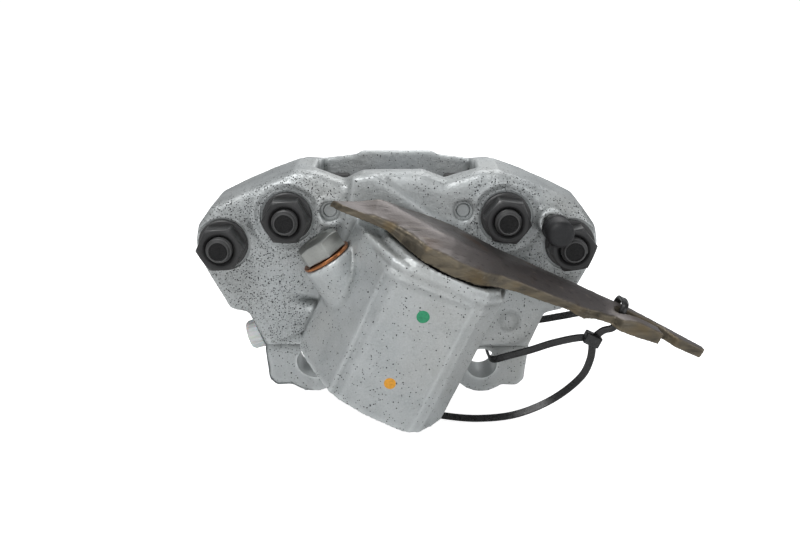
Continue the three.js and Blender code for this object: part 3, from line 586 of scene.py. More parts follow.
# ---- Outer half --------------------------------------------------------------------------------------
# The same foundry and finish on the far side of the disc. It holds the second piston and the heads of the
# bridge bolts, and carries no lugs.
back, seat_back = 34.0, 32.0
outer = cad_copy("outer_casting", "outer_half")
fills = [rod(seat_radius - 0.3, place(x, 0, z), deep, back - 4, back) for x, z in bolts_at]
outer = cast_skin(joined("outer_casting", outer, *fills), cast_voxel, cast_passes)
co = rows_of(outer.data, "co")
reshaped(outer, co + rows_of(outer.data, "normal") * uneven(co, *sand_waves)[:, None])
holes = [
    milled(0.15, -90, 60, 20, -deep),
    rod(bore, piston_at, deep, 15, 48, 96),
    rod(boot_recess, piston_at, deep, 15, 26.7, 96),
]
for x, z in bolts_at:
    holes.append(rod(seat_radius, place(x, 0, z), deep, seat_back, 60, 72))
    holes.append(rod(bolt_hole, place(x, 0, z), deep, -5, 50))
for side in (-1, 1):
    holes.append(rod(pin_hole, place(side * pin_x, 0, pin_z), deep, -5, 50))
machined(outer, holes)
plated(outer, lambda own: 0.16 + 0.25 * smoothly(-own[:, 2], -20, 10))
kept(outer, "caliper", "casting", "outer_half")


# ---- Paint dots --------------------------------------------------------------------------------------
# Two inspection dots dabbed on the front of the housing, one green and one orange. They are thin skins
# of enamel that follow the casting under them.
def mottled(name, first, second, scale, detail, low, high, relief, spread=(0.4, 0.7), **sockets):
    """A finish of two close tones, with its roughness and relief from the same grain."""
    made, tree, shader = finish(name, **sockets)
    patch = grain(tree, scale, detail)
    tint = blended(tree, between(tree, patch, *spread), first, second)
    surface(tree, shader, tint, between(tree, patch, 0.3, 0.7, low, high), patch, relief)
    return made


def paint_dot(name, colour, s, a, radius, count=64, rings=6):
    worn = [part * 0.72 for part in colour]
    enamel = mottled(name + "_paint", colour, worn, 900, 4, 0.35, 0.5, 0.06, (0.4, 0.75), Metallic=0.0)
    points, faces = [], []
    for ring in range(rings + 1):
        share = ring / rings
        for i in range(count):
            bearing = 2 * math.pi * i / count
            spoke = Vector((math.cos(bearing), math.sin(bearing), 0))
            ragged = 1 + 0.035 * noise.noise(Vector((spoke.x * 1.7, spoke.y * 1.7, s + a)))
            spoke *= radius * share * ragged
            _, where, _, _ = lever_side.ray_cast(leaning(s + spoke.x, -90, a + spoke.y), deep)
            points.append(where - deep * (0.14 * (1 - share**6) - 0.03) * mm)
    for ring in range(rings):
        for i in range(count):
            j = (i + 1) % count
            low, high = ring * count, (ring + 1) * count
            faces.append((low + i, low + j, high + j, high + i))
    rim, under = rings * count, len(points)
    points += [Vector(p) + deep * 0.25 * mm for p in points[rim:rim + count]]
    faces += [(rim + i, rim + (i + 1) % count, under + (i + 1) % count, under + i) for i in range(count)]
    faces.append(tuple(under + i for i in range(count)))
    kept(made_of(name, points, faces, enamel, 60), "caliper", "casting")


bpy.context.view_layer.update()
paint_dot("green_dot", (0.022, 0.30, 0.14), 18.8, -13.4, 3.0)
paint_dot("orange_dot", (0.80, 0.36, 0.028), 18.9, -47.2, 2.75)


# ---- Bridge bolts, nuts and washers ------------------------------------------------------------------
# Four M12 bolts hold the halves together. Black phosphated steel, lightly oiled, with turned chamfers on
# the hexagons and rolled threads that stand out of the nuts.
def dark_steel(name, tone, grit):
    made, tree, shader = finish(name, Metallic=0.45)
    patch = grain(tree, 160, 4)
    fine = grain(tree, 1700, 3)
    dark = [part * tone for part in (0.010, 0.010, 0.0105)]
    light = [part * tone for part in (0.024, 0.024, 0.025)]
    base = blended(tree, between(tree, patch, 0.35, 0.7), dark, light)
    # Painted highlight: the edges of the hexagons, chamfers and rings are painted lighter.
    base = blended(tree, between(tree, marked(tree, "edge"), 0.15, 0.8, 0, 0.5), base, (0.15, 0.15, 0.15))
    surface(tree, shader, base, between(tree, patch, 0.3, 0.7, 0.32, 0.5), fine, grit)
    return made


phosphate = dark_steel("black_phosphate", 1.0, 0.03)
phosphate_end = dark_steel("black_phosphate_end", 0.5, 0.5)


def rounded(piece, width, angle=30):
    """Small even rounding on the sharp edges."""
    work = piece.modifiers.new("rounding", "BEVEL")
    work.width = width * mm
    work.segments = 2
    work.limit_method = "ANGLE"
    work.angle_limit = math.radians(angle)
    return settled(piece, angle)


def hexagon(across_flats):
    """The radius of a hexagon at each bearing, with a corner at bearing nought."""
    def radius(bearing):
        return across_flats / 2 / math.cos((bearing % (math.pi / 3)) - math.pi / 6)
    return radius


def chamfered(across_flats, end, inwards, share):
    """Where a turned chamfer of 28 degrees meets the end and the sides of the hexagon."""
    face = across_flats / 2 * share
    radius = hexagon(across_flats)

    def along(bearing):
        return end + inwards * (radius(bearing) - face) * math.tan(math.radians(28))
    return face, along


def grown(name, build, places=(), marks=None, **sizes):
    """Runs a node tree on a few points and keeps the plain mesh. Its inputs are the sizes given. Faces
    marked as sawn keep the finish that they have."""
    kinds = {float: "Float", tuple: "Vector", bpy.types.Object: "Object", bpy.types.Material: "Material"}
    tree = bpy.data.node_groups.new(name + "_pattern", "GeometryNodeTree")
    tree.interface.new_socket(name="Places", in_out="INPUT", socket_type="NodeSocketGeometry")
    keys = {}
    for label, value in sizes.items():
        kind = "NodeSocket" + kinds[type(value)]
        keys[label] = tree.interface.new_socket(name=label, in_out="INPUT", socket_type=kind).identifier
    tree.interface.new_socket(name="Mesh", in_out="OUTPUT", socket_type="NodeSocketGeometry")
    entry = add(tree, "NodeGroupInput").outputs
    real = add(tree, "GeometryNodeRealizeInstances", {"Geometry": build(tree, entry)})
    sawn = add(tree, "GeometryNodeInputNamedAttribute", {"Name": "sawn"}, data_type="FLOAT")
    coated = add(tree, "GeometryNodeSetMaterial", {
        "Geometry": real.outputs[0],
        "Selection": reckoned(tree, "LESS_THAN", sawn.outputs["Attribute"], 0.5),
        "Material": entry["Finish"],
    })
    add(tree, "NodeGroupOutput", {"Mesh": coated.outputs[0]})
    mesh = bpy.data.meshes.new(name)
    mesh.from_pydata([tuple(p) for p in places], [], [])
    for label, rows in (marks or {}).items():
        kind, field = ("FLOAT_VECTOR", "vector") if np.ndim(rows) == 2 else ("FLOAT", "value")
        mesh.attributes.new(label, kind, "POINT").data.foreach_set(field, np.ravel(rows).astype(np.float32))
    made = placed(name, mesh)
    work = made.modifiers.new("pattern", "NODES")
    work.node_group = tree
    for label, value in sizes.items():
        work[keys[label]] = value
    return settled(made)


def stations(name, piece, turns):
    """Copies of one piece on the four bolt axes, each turned about its bolt by its own degrees."""
    def build(tree, entry):
        angle = add(tree, "GeometryNodeInputNamedAttribute", {"Name": "turn"}, data_type="FLOAT")
        euler = add(tree, "ShaderNodeCombineXYZ", {"Y": angle.outputs["Attribute"]})
        rotation = add(tree, "FunctionNodeEulerToRotation", {"Euler": euler.outputs[0]})
        one = add(tree, "GeometryNodeObjectInfo", {"Object": entry["Fastener"]}, transform_space="ORIGINAL")
        return add(tree, "GeometryNodeInstanceOnPoints", {
            "Points": entry["Places"], "Instance": one.outputs["Geometry"], "Rotation": rotation.outputs[0],
        }).outputs[0]
    spots = [place(x, 0, z) for x, z in bolts_at]
    made = grown(name, build, spots, {"turn": np.radians(turns)}, Fastener=piece, Finish=phosphate)
    bpy.data.objects.remove(piece)
    return made


def threaded(name, radius, pitch, low, high, material, segments=48):
    """A helical ridge of that pitch along the Y axis, with both ends closed."""
    def build(tree, entry):
        path = add(tree, "GeometryNodeCurveSpiral", {
            "Resolution": segments, "Rotations": entry["Turns"],
            "Start Radius": entry["Radius"], "End Radius": entry["Radius"],
            "Height": reckoned(tree, "MULTIPLY", entry["Pitch"], entry["Turns"]),
        })
        ring = add(tree, "GeometryNodeCurvePrimitiveCircle", {"Resolution": 8, "Radius": entry["Ridge"]})
        return add(tree, "GeometryNodeCurveToMesh", {
            "Curve": path.outputs[0], "Profile Curve": ring.outputs[0], "Fill Caps": True,
        }).outputs[0]
    sizes = {
        "Radius": radius * mm, "Pitch": pitch * mm, "Turns": (high - low) / pitch,
        "Ridge": pitch * 0.42 * mm,
    }
    made = grown(name, build, **sizes, Finish=material)
    made.data.transform(Matrix.Translation((0, low * mm, 0)) @ Matrix.Rotation(-math.pi / 2, 4, "X"))
    return made


origin = Vector((0, 0, 0))
hex_across = 19.0
flats = hexagon(hex_across)
washer_low, washer_high = -36.8, -34.3
nut_low, nut_high = -46.7, -37.1
bolt_tip = -49.5
head_low, head_high = 32.3, 39.8

washer = turned("washer", [
    (6.4, washer_low + 0.3), (6.7, washer_low), (10.9, washer_low), (11.4, washer_low + 0.5),
    (11.4, washer_high - 0.2), (11.2, washer_high), (6.6, washer_high), (6.4, washer_high - 0.2),
], origin, deep, phosphate, 96)
washers = stations("bridge_washers", washer, (0, 0, 0, 0))
edge_marks(washers.data, 0)
kept(washers, "caliper", "black_steel", *[f"bridge_washer_{n}" for n in (1, 2, 3, 4)])

face, lower = chamfered(hex_across, nut_low, 1, 0.96)
inner_face, upper = chamfered(hex_across, nut_high, -1, 0.985)
nut = turned("nut", [
    (6.2, nut_low + 1.3), (7.3, nut_low + 0.15), (7.6, nut_low), (face - 0.1, nut_low),
    (face, nut_low + 0.03), (flats, lower), (flats, upper), (face + 0.1, nut_high), (6.9, nut_high),
    (6.2, nut_high - 0.7),
], origin, deep, phosphate, 96)
nuts = stations("bridge_nuts", rounded(nut, 0.22, 24), (-3, 1, 8, -9))
edge_marks(nuts.data, 1)
kept(nuts, "caliper", "black_steel", *[f"bridge_nut_{n}" for n in (1, 2, 3, 4)])

# The bolt: a shank with a rolled thread at the nut end, a sawn end, and a head with a shallow dish
face, shoulder = chamfered(hex_across, head_high, -1, 0.96)
head = turned("head", [
    (0, head_high - 0.7), (6.4, head_high - 0.7), (7.2, head_high), (face - 0.1, head_high),
    (flats, shoulder), (flats, head_low + 0.4), (9.2, head_low + 0.4), (9.0, head_low), (0, head_low),
], origin, deep, phosphate, 96)
end_radius = 3.9
shank = turned("shank", [
    (0, bolt_tip + 0.35), (end_radius, bolt_tip + 0.35), (4.35, bolt_tip), (4.75, bolt_tip),
    (5.35, bolt_tip + 0.9), (5.35, -26), (5.9, -25), (5.9, 33), (0, 33),
], origin, deep, phosphate, 72)
thread = threaded("thread", 5.3, 1.75, bolt_tip + 1.6, -28, phosphate)
bolt = joined("bolt", shank, rounded(head, 0.22, 24), thread)
bolt.data.materials.append(phosphate_end)
sawn = bolt.data.attributes.new("sawn", "FLOAT", "FACE")
for polygon in bolt.data.polygons:
    centre = polygon.center / mm
    if centre.y < bolt_tip + 0.5 and math.hypot(centre.x, centre.z) < end_radius + 0.3:
        sawn.data[polygon.index].value = 1
        polygon.material_index = 1
bolts = stations("bridge_bolts", bolt, (20, 75, -40, 10))
shaded(bolts.data)
edge_marks(bolts.data, 0)
kept(bolts, "caliper", "black_steel", *[f"bridge_bolt_{n}" for n in (1, 2, 3, 4)])


# ---- Parking-brake lever -----------------------------------------------------------------------------
# A drop forging that turns on the cam shaft. The die line runs along its sides, the fork at its end takes
# the brake cable, and heat has left straw and violet colours on the bare steel.
forging, tree, shader = finish("forged_steel", Metallic=0.7)
drawn, patch = grain(tree, 40, 4, (0.35, 1.0, 1.0)), grain(tree, 62, 4)
scratch, streak = grain(tree, 520, 4, (0.12, 1.0, 1.0)), grain(tree, 260, 4, (0.10, 1.0, 1.0))
edge = marked(tree, "edge")
flank = blended(tree, between(tree, drawn, 0.38, 0.62), (0.080, 0.067, 0.048), (0.135, 0.118, 0.090))
flank = blended(tree, between(tree, streak, 0.50, 0.66, 0, 0.6), flank, (0.21, 0.175, 0.12))
flank = blended(tree, between(tree, patch, 0.54, 0.68, 0, 0.6), flank, (0.165, 0.115, 0.052))
flank = blended(tree, between(tree, patch, 0.44, 0.30, 0, 0.7), flank, (0.045, 0.040, 0.032))
# The faces that look up are painted lighter than the flanks, a painted sheen of the light from above, over
# the violet heat tint.
upper = blended(tree, between(tree, drawn, 0.35, 0.65), (0.125, 0.112, 0.110), (0.19, 0.172, 0.165))
upper = blended(tree, between(tree, patch, 0.55, 0.70, 0, 0.55), upper, (0.115, 0.070, 0.046))
base = blended(tree, marked(tree, "top"), flank, upper)
base = blended(tree, between(tree, scratch, 0.62, 0.74, 0, 0.4), base, (0.28, 0.25, 0.20))
base = blended(tree, between(tree, scratch, 0.40, 0.30, 0, 0.5), base, (0.03, 0.028, 0.025))
# Painted highlight on the convex edges, and painted shade in the hollows.
base = blended(tree, between(tree, edge, 0.15, 0.9, 0, 0.3), base, (0.26, 0.22, 0.16))
base = blended(tree, between(tree, edge, -0.15, -0.9, 0, 0.75), base, (0.03, 0.027, 0.022))
height = summed(tree, scratch, 0.9, grain(tree, 1100, 3), 0.5)
surface(tree, shader, base, between(tree, patch, 0.3, 0.7, 0.36, 0.54), height, 0.16)

lever = cast_skin(cad_copy("forged_lever", "handbrake_lever", forging), 0.75, 3)
co, facing = rows_of(lever.data, "co"), rows_of(lever.data, "normal")
waves = uneven(co, (10, 0.22), (3.2, 0.08))
own, s_at, a_at = measured(co)
# The top falls away towards the front in a long easy curve, as the dies leave it
ribs = np.arange(-34.0, 144.0, 2.0)
nearest = np.array([own[np.abs(s_at - s) < 1.6, 1].min() for s in ribs])
nearest = np.convolve(np.pad(nearest, 3, mode="edge"), np.ones(7) / 7, "valid")
behind = own[:, 1] - np.interp(s_at, ribs, nearest)
fall = 5.0 * (1 - smoothly(behind, -1, 15)) * smoothly(a_at, 10.5, 19.0) * smoothly(-s_at, -112, -96)
co -= np.outer(fall * mm, np.array(upright))
a_at -= fall
# The die line: a fine raised flash along the middle of the front face
level_with = np.abs(facing @ np.array(upright)) < 0.6
flash = np.exp(-(((a_at - 12.6 - 0.5 * np.sin(s_at / 9)) / 0.55) ** 2)) * level_with
reshaped(lever, co + facing * (waves + flash * 0.28 * mm)[:, None])
lever.data.materials.clear()
lever.data.materials.append(forging)
edge_marks(lever.data)
# How far each face looks up, for the painted sheen on the top.
mark(lever.data, "top", smoothly(rows_of(lever.data, "normal") @ np.array(upright), 0.55, 0.93))
shaded(lever.data, 50)
kept(lever, "lever", "forged_steel", "handbrake_lever")


# ---- Cam shaft, its bushes and seal ------------------------------------------------------------------
# The ground shaft turns in two bronze bushes. A flat in its middle works the push rod, and a rubber seal
# closes the bore under the lever.
def bright_steel(name, tone, low, high, stretch=(1, 1, 1)):
    made, tree, shader = finish(name, Metallic=0.9)
    patch = grain(tree, 130, 4)
    fine = grain(tree, 1500, 3, stretch)
    base = blended(tree, between(tree, patch, 0.35, 0.7), [c * 0.82 for c in tone], tone)
    base = blended(tree, between(tree, fine, 0.55, 0.75, 0, 0.35), base, [c * 0.55 for c in tone])
    surface(tree, shader, base, between(tree, fine, 0.3, 0.7, low, high), fine, 0.025)
    return made


def moulded_rubber(name, tone, low, high, relief):
    made, tree, shader = finish(name, Metallic=0.0)
    fine = grain(tree, 1900, 4)
    base = blended(tree, between(tree, grain(tree, 240, 3), 0.35, 0.7), [c * 0.75 for c in tone], tone)
    base = blended(tree, between(tree, fine, 0.58, 0.72, 0, 0.5), base, [c * 2.2 for c in tone])
    surface(tree, shader, base, between(tree, fine, 0.3, 0.7, low, high), fine, relief)
    return made


def ring_section(inner, outer, low, high, cut):
    """The section of a square ring with its corners cut."""
    return [
        (inner, low + cut), (inner + cut, low), (outer - cut, low), (outer, low + cut),
        (outer, high - cut), (outer - cut, high), (inner + cut, high), (inner, high - cut),
    ]


ground_steel = bright_steel("ground_steel", (0.55, 0.55, 0.54), 0.22, 0.36, (1, 0.2, 1))
plated_steel = bright_steel("plated_steel", (0.42, 0.43, 0.41), 0.34, 0.50)
seal_rubber = moulded_rubber("seal_rubber", (0.022, 0.022, 0.023), 0.55, 0.75, 0.05)
bronze = mottled("bronze", (0.42, 0.17, 0.07), (0.26, 0.115, 0.055), 300, 4, 0.24, 0.42, 0.03, Metallic=1.0)

shaft = turned("cam_shaft_ground", [
    (0, -38), (7.2, -38), (8, -37.2), (8, -3.4), (7.6, -3.0), (7.6, -1.6), (8, -1.2), (8, 13.8),
    (7.4, 14.4), (0, 14.4),
], cam_at, upright, ground_steel, 96)
rod_level = piston_z * math.cos(lean)
flat = [leaning(18 + s, -59, rod_level + a) for s, a in ((-9, -7), (9, -7), (9, 7), (-9, 7))]
cut_from(shaft, [slab("cam_flat", flat, 5, deep, ground_steel)], "EXACT")
shaded(shaft.data)
kept(shaft, "lever", "plain_steel", "cam_shaft")

for name, low, high in (("lower", -38.0, -29.0), ("upper", -9.1, -0.1)):
    section = ring_section(8.3, 10.3, low, high, 0.4)
    bush = turned("cam_bush_" + name, section, cam_at, upright, bronze, 72)
    kept(bush, "caliper", "copper", "shaft_bush_" + name)

seal = turned("cam_dust_seal", [
    (8.35, 1.4), (8.9, 0.8), (12.6, 0.8), (12.9, 1.2), (12.9, 5.2), (12.5, 5.7), (11.2, 5.7), (10.6, 6.6),
    (9.2, 7.1), (8.5, 6.7), (9.3, 5.4), (10.4, 4.6), (10.4, 2.8), (9.0, 2.4),
], cam_at, upright, seal_rubber, 96)
kept(seal, "caliper", "rubber", "shaft_dust_seal")


# ---- Push rod, its spring and the adjuster -----------------------------------------------------------
# The cam pushes the rod, a coil spring in a pressed cage brings it back, and the threaded spindle with
# its sleeve takes up the wear behind the lever-side piston.
spring_wire = bright_steel("spring_wire", (0.22, 0.23, 0.26), 0.28, 0.42)
push_rod = turned("push_rod_hardened", [
    (0, -58.6), (2.0, -58.05), (3.4, -57.0), (4, -55.6), (4, -48.4), (3.7, -48), (3.7, -47.3), (4, -47),
    (6.7, -47), (7, -46.7), (7, -45.9), (6.7, -45.6), (3, -45.6), (3, -38.8), (2.4, -38.2), (0, -38.2),
], piston_at, deep, ground_steel, 72)
kept(push_rod, "push_rod", "plain_steel", "push_rod")

coil = threaded("return_coil", 4.7, 1.15, -44.9, -40.5, spring_wire, 40)
coil.data.transform(Matrix.Translation(piston_at))
shaded(coil.data, 60)
kept(coil, "caliper", "spring_steel", "return_spring")
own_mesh(coil)

cage = turned("spring_cage_pressed", [
    (7.3, -47.7), (8.3, -47.7), (8.3, -39.6), (7.6, -38.8), (3.3, -38.8), (3.3, -39.8), (6.9, -39.8),
    (7.3, -40.2),
], piston_at, deep, plated_steel, 72)
kept(cage, "caliper", "plain_steel", "spring_cage")

low, high = (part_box("adjuster_spindle")[0].y - hub.y) / mm, -28.3
core = turned("adjuster_core", [
    (0, low), (3.7, low), (4.3, low + 0.7), (4.3, high), (0, high),
], origin, deep, ground_steel, 48)
ridge = threaded("adjuster_thread", 4.25, 1.5, low + 1.1, high - 0.8, ground_steel, 36)
spindle = joined("adjuster_spindle_threaded", core, ridge)
spindle.data.transform(Matrix.Translation(piston_at))
shaded(spindle.data)
kept(spindle, "lever_side_piston", "plain_steel", "adjuster_spindle")


def knurled(radius, count, depth):
    return lambda bearing: radius - depth * (0.5 - 0.5 * math.cos(count * bearing))


low = (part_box("adjuster_sleeve")[0].y - hub.y) / mm
teeth_round = knurled(9.0, 24, 0.6)
sleeve = turned("adjuster_sleeve_toothed", [
    (5.3, low + 0.3), (5.6, low), (8.4, low), (teeth_round, low + 0.5), (teeth_round, high - 0.5),
    (8.4, high), (5.6, high), (5.3, high - 0.3),
], piston_at, deep, plated_steel, 144)
kept(sleeve, "lever_side_piston", "plain_steel", "adjuster_sleeve")


# ---- Pistons, seals and boots ------------------------------------------------------------------------
# Chromed cups of 42 mm, one in each half, with a square rubber seal in a groove of the bore and a folded
# dust boot held by a pressed ring.
piston_chrome = bright_steel("chromed_steel", (0.66, 0.67, 0.68), 0.12, 0.24, (1, 0.15, 1))
folds = 12
under = [
    (21.4 + 4.0 * t / folds, -23.3 - 2.6 * t / folds - 0.45 * math.cos(math.pi * t))
    for t in range(folds + 1)
]
bellows = under + [(r + 0.1, y + 0.75) for r, y in reversed(under)]
for side, facing_disc, body in (("lever_side", deep, "lever_side_piston"), ("outer", -deep, "outer_piston")):
    cup = turned("piston_cup_" + side, [
        (0, -28), (15.2, -28), (16, -28.8), (16, -45.4), (16.6, -46), (20, -46), (21, -45), (21, -26.1),
        (19.9, -25.8), (19.9, -24.3), (21, -24.0), (21, -22.7), (20.3, -22), (13.4, -22), (12.8, -22.7),
        (0, -22.7),
    ], piston_at, facing_disc, piston_chrome, 120)
    kept(cup, body, "plain_steel", "piston_" + side)
    section = ring_section(21.3, 23.9, -32.4, -29.4, 0.2)
    square = turned("piston_ring_" + side, section, piston_at, facing_disc, seal_rubber, 120)
    kept(square, "caliper", "rubber", "piston_seal_" + side)
    boot = turned("bellows_" + side, bellows, piston_at, facing_disc, seal_rubber, 120, angle=60)
    kept(boot, "caliper", "rubber", "dust_boot_" + side)
    section = ring_section(26.0, 28.0, -26.4, -22.3, 0.2)
    hoop = turned("boot_hoop_" + side, section, piston_at, facing_disc, plated_steel, 120)
    kept(hoop, "caliper", "plain_steel", "boot_ring_" + side)


# ---- Brake pads --------------------------------------------------------------------------------------
# Steel backing plates, stamped and painted black, with a moulded friction block that has a wiping groove
# down its middle and rounded edges.
pad_paint, tree, shader = finish("pad_paint", Metallic=0.15)
patch = grain(tree, 180, 4)
tint = blended(tree, between(tree, patch, 0.4, 0.7), (0.016, 0.017, 0.019), (0.036, 0.037, 0.040))
# Painted highlight: the plate's edges are painted lighter.
tint = blended(tree, between(tree, marked(tree, "edge"), 0.3, 0.9, 0, 0.5), tint, (0.16, 0.155, 0.15))
surface(tree, shader, tint, between(tree, patch, 0.3, 0.7, 0.40, 0.60), grain(tree, 1200, 3), 0.05)

friction, tree, shader = finish("friction_block", Metallic=0.0)
at = add(tree, "ShaderNodeTexCoord").outputs["Object"]
cells = add(tree, "ShaderNodeTexVoronoi", {"Vector": at, "Scale": 900.0})
chip = add(tree, "ShaderNodeSeparateColor", {"Color": cells.outputs["Color"]}).outputs[0]
tint = blended(tree, between(tree, chip, 0.2, 0.9), (0.022, 0.020, 0.018), (0.075, 0.066, 0.056))
tint = blended(tree, between(tree, chip, 0.93, 0.96), tint, (0.48, 0.33, 0.17))
surface(tree, shader, tint, between(tree, chip, 0.9, 1.0, 0.92, 0.45), grain(tree, 1100, 4), 0.12)

for side, sign, body in (("lever_side", -1, "lever_side_piston"), ("outer", 1, "outer_piston")):
    plate = rounded(cad_copy("backing_plate_" + side, "pad_backing_" + side, pad_paint), 0.5)
    edge_marks(plate.data, 0)
    kept(plate, body, "black_paint", "pad_backing_" + side)
    block = cad_copy("friction_block_" + side, "pad_lining_" + side, friction)
    low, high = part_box("pad_lining_" + side)
    disc_side = high.y if sign < 0 else low.y
    section = ((-1.6, -1), (1.6, -1), (1.2, 6), (-1.2, 6))
    outline = [(x * mm, disc_side + sign * d * mm, high.z + 2 * mm) for x, d in section]
    cut_from(block, [slab("groove", outline, 70, (0, 0, -1), friction)], "EXACT")
    kept(rounded(block, 0.8), body, "friction_lining", "pad_lining_" + side)


# ---- Pad pins and the spring over the pads -----------------------------------------------------------
# Two plated pins hang the pads. A pressed spring leaf lies across both pads and keeps them from rattling.
for hand, side in (("left", -1), ("right", 1)):
    pin = turned("pad_pin_" + hand + "_ground", [
        (0, -33.5), (2.7, -33.5), (3.25, -33.0), (3.25, -31.6), (3, -31), (3, -24.6), (2.6, -24.3),
        (2.6, -23.4), (3, -23.1), (3, 30.1), (2.2, 31), (0, 31),
    ], place(side * pin_x, 0, pin_z), deep, zinc_machined, 48)
    kept(pin, "caliper", "plain_steel", "pad_pin_" + hand)
leaf = rounded(cad_copy("pad_spring_leaf", "pad_spring", spring_wire), 0.22)
kept(leaf, "caliper", "spring_steel", "pad_spring")


# ---- Feed plug and its washer ------------------------------------------------------------------------
# A zinc-plated hexagon plug closes the cross drilling to the piston. It seals on a soft copper washer.
face, shoulder = chamfered(hex_across, 9.8, -1, 0.95)
plug = turned("feed_plug_hexagon", [
    (0, 9.3), (5.6, 9.3), (6.3, 9.8), (face, 9.8), (flats, shoulder), (flats, 2.1), (9.3, 1.8), (6, 1.8),
    (6, -9.4), (5.4, -10), (0, -10),
], gauge_at, gauge_axis, plated_steel, 96, math.radians(8))
plug = rounded(plug, 0.2, 24)
edge_marks(plug.data, 0)
kept(plug, "caliper", "plain_steel", "feed_plug")
section = ring_section(6.3, 11.4, 0, 1.5, 0.3)
crush = turned("feed_plug_copper", section, gauge_at, gauge_axis, bronze, 96)
kept(crush, "caliper", "copper", "feed_plug_washer")


# ---- Transport plug in the pipe port -----------------------------------------------------------------
# A white moulded cap with grip ribs keeps dirt out of the pipe port until the caliper is fitted.
white_nylon = mottled("white_nylon", (0.62, 0.64, 0.64), (0.70, 0.72, 0.72), 260, 3, 0.34, 0.46, 0.05,
                      (0.35, 0.7), Metallic=0.0, Subsurface_Weight=0.25, Subsurface_Scale=0.004)
cap = turned("port_cap", [
    (0, -9), (4.4, -9), (5, -8.3), (5, 0.3), (7.6, 0.3), (7.6, 1.6), (knurled(7.3, 20, 0.45), 1.9),
    (knurled(7.1, 20, 0.45), 7.6), (6.4, 8.8), (5.6, 9), (4.6, 9), (4.2, 8.4), (0, 8.4),
], port_at, port_axis, white_nylon, 160)
kept(cap, "caliper", "white_nylon", "port_transport_plug")


# ---- Bleed screw and its cap -------------------------------------------------------------------------
# The screw sits on a boss beside the outer right nut, under a domed rubber cap.
cap_rubber = moulded_rubber("cap_rubber", (0.010, 0.0105, 0.012), 0.42, 0.62, 0.14)
screw_hex = hexagon(7.0)
screw = turned("bleed_screw_plated", [
    (0, 1), (2.6, 1), (3, 1.4), (3, 12.3), (screw_hex, 12.4), (screw_hex, 16.8), (3.2, 17.2), (2.4, 17.8),
    (2.4, 21.4), (2.1, 22), (2.4, 22.6), (2.4, 26), (0, 26),
], bleed_at, bleed_axis, plated_steel, 96)
kept(screw, "caliper", "plain_steel", "bleed_screw")
dome = turned("bleed_dome", [
    (2.7, 18.3), (5.9, 18.3), (6.3, 18.8), (6.3, 20.3), (5.9, 20.8), (5.9, 21.6), (6.3, 22.2), (6.3, 27.4),
    (6.0, 28.8), (5.2, 29.9), (4.1, 30.5), (3.2, 30.6), (2.4, 30.5), (1.2, 30.9), (0, 31),
    (0, 26.3), (2.7, 26.3),
], bleed_at, bleed_axis, cap_rubber, 96, angle=50)
kept(dome, "caliper", "rubber", "bleed_cap")


# ---- Cable tie ---------------------------------------------------------------------------------------
# A black nylon tie holds the lever for transport. Its strap runs from the head through the right
# mounting hole, up behind the leg, over the far prong of the fork, and back to the head.
nylon = mottled("black_nylon", (0.012, 0.012, 0.0125), (0.024, 0.024, 0.025), 700, 3, 0.24, 0.36, 0.03,
                Metallic=0.0, Coat_Weight=0.15, Coat_Roughness=0.2)
strap_half, strap_thick = 1.75, 1.25
tie_head = place(90.5, -47, -42.5)
tall, wide, steep = (-0.37, 0, 0.93), (-0.906, 0, 0.42), (0.9, -0.4, 0)


def over_fork(y, a):
    return leaning(105, y, a), wide


# Each point has the direction of the strap's width there
loop = [
    (tie_head, (-0.45, 0, 0.85)), (place(86.5, -45, -42.5), tall), (place(74, -43, -45.8), tall),
    (place(63, -41, -50.4), tall), (place(53.5, -39, -54), tall), (place(46.2, -35, -57.6), tall),
    (place(44.6, -22, -58.8), tall), (place(45.6, -10.5, -58.2), tall), (place(50, -7.6, -55.5), tall),
    (place(65, -8.6, -48.5), tall), (place(74, -16, -43.8), tall), (place(81, -23, -39.7), tall),
    (place(88, -32, -35), (-0.6, 0, 0.75)), over_fork(-38.3, 12.7), over_fork(-38.3, 19.5),
    over_fork(-39.5, 21.5), over_fork(-44.5, 22.3), over_fork(-48.6, 21.5), over_fork(-50, 19.5),
    over_fork(-50, 9.7), (place(95, -49, -37.5), (-0.8, 0, 0.6)), (tie_head, (-0.6, 0, 0.75)),
]
tail = [
    (tie_head, steep), (place(91, -46, -48.4), steep), (place(90.6, -45, -53.8), steep),
    (place(87.7, -44, -61.9), (0.85, -0.5, -0.2)), (place(75.7, -42, -74.4), (0.55, -0.6, -0.5)),
    (place(58, -42, -82.9), (0.25, -0.7, -0.6)), (place(40, -42, -85.3), (0, -0.8, -0.6)),
    (place(23.5, -42, -84), (-0.1, -0.8, -0.55)), (place(8, -42, -80.5), (-0.1, -0.8, -0.5)),
]


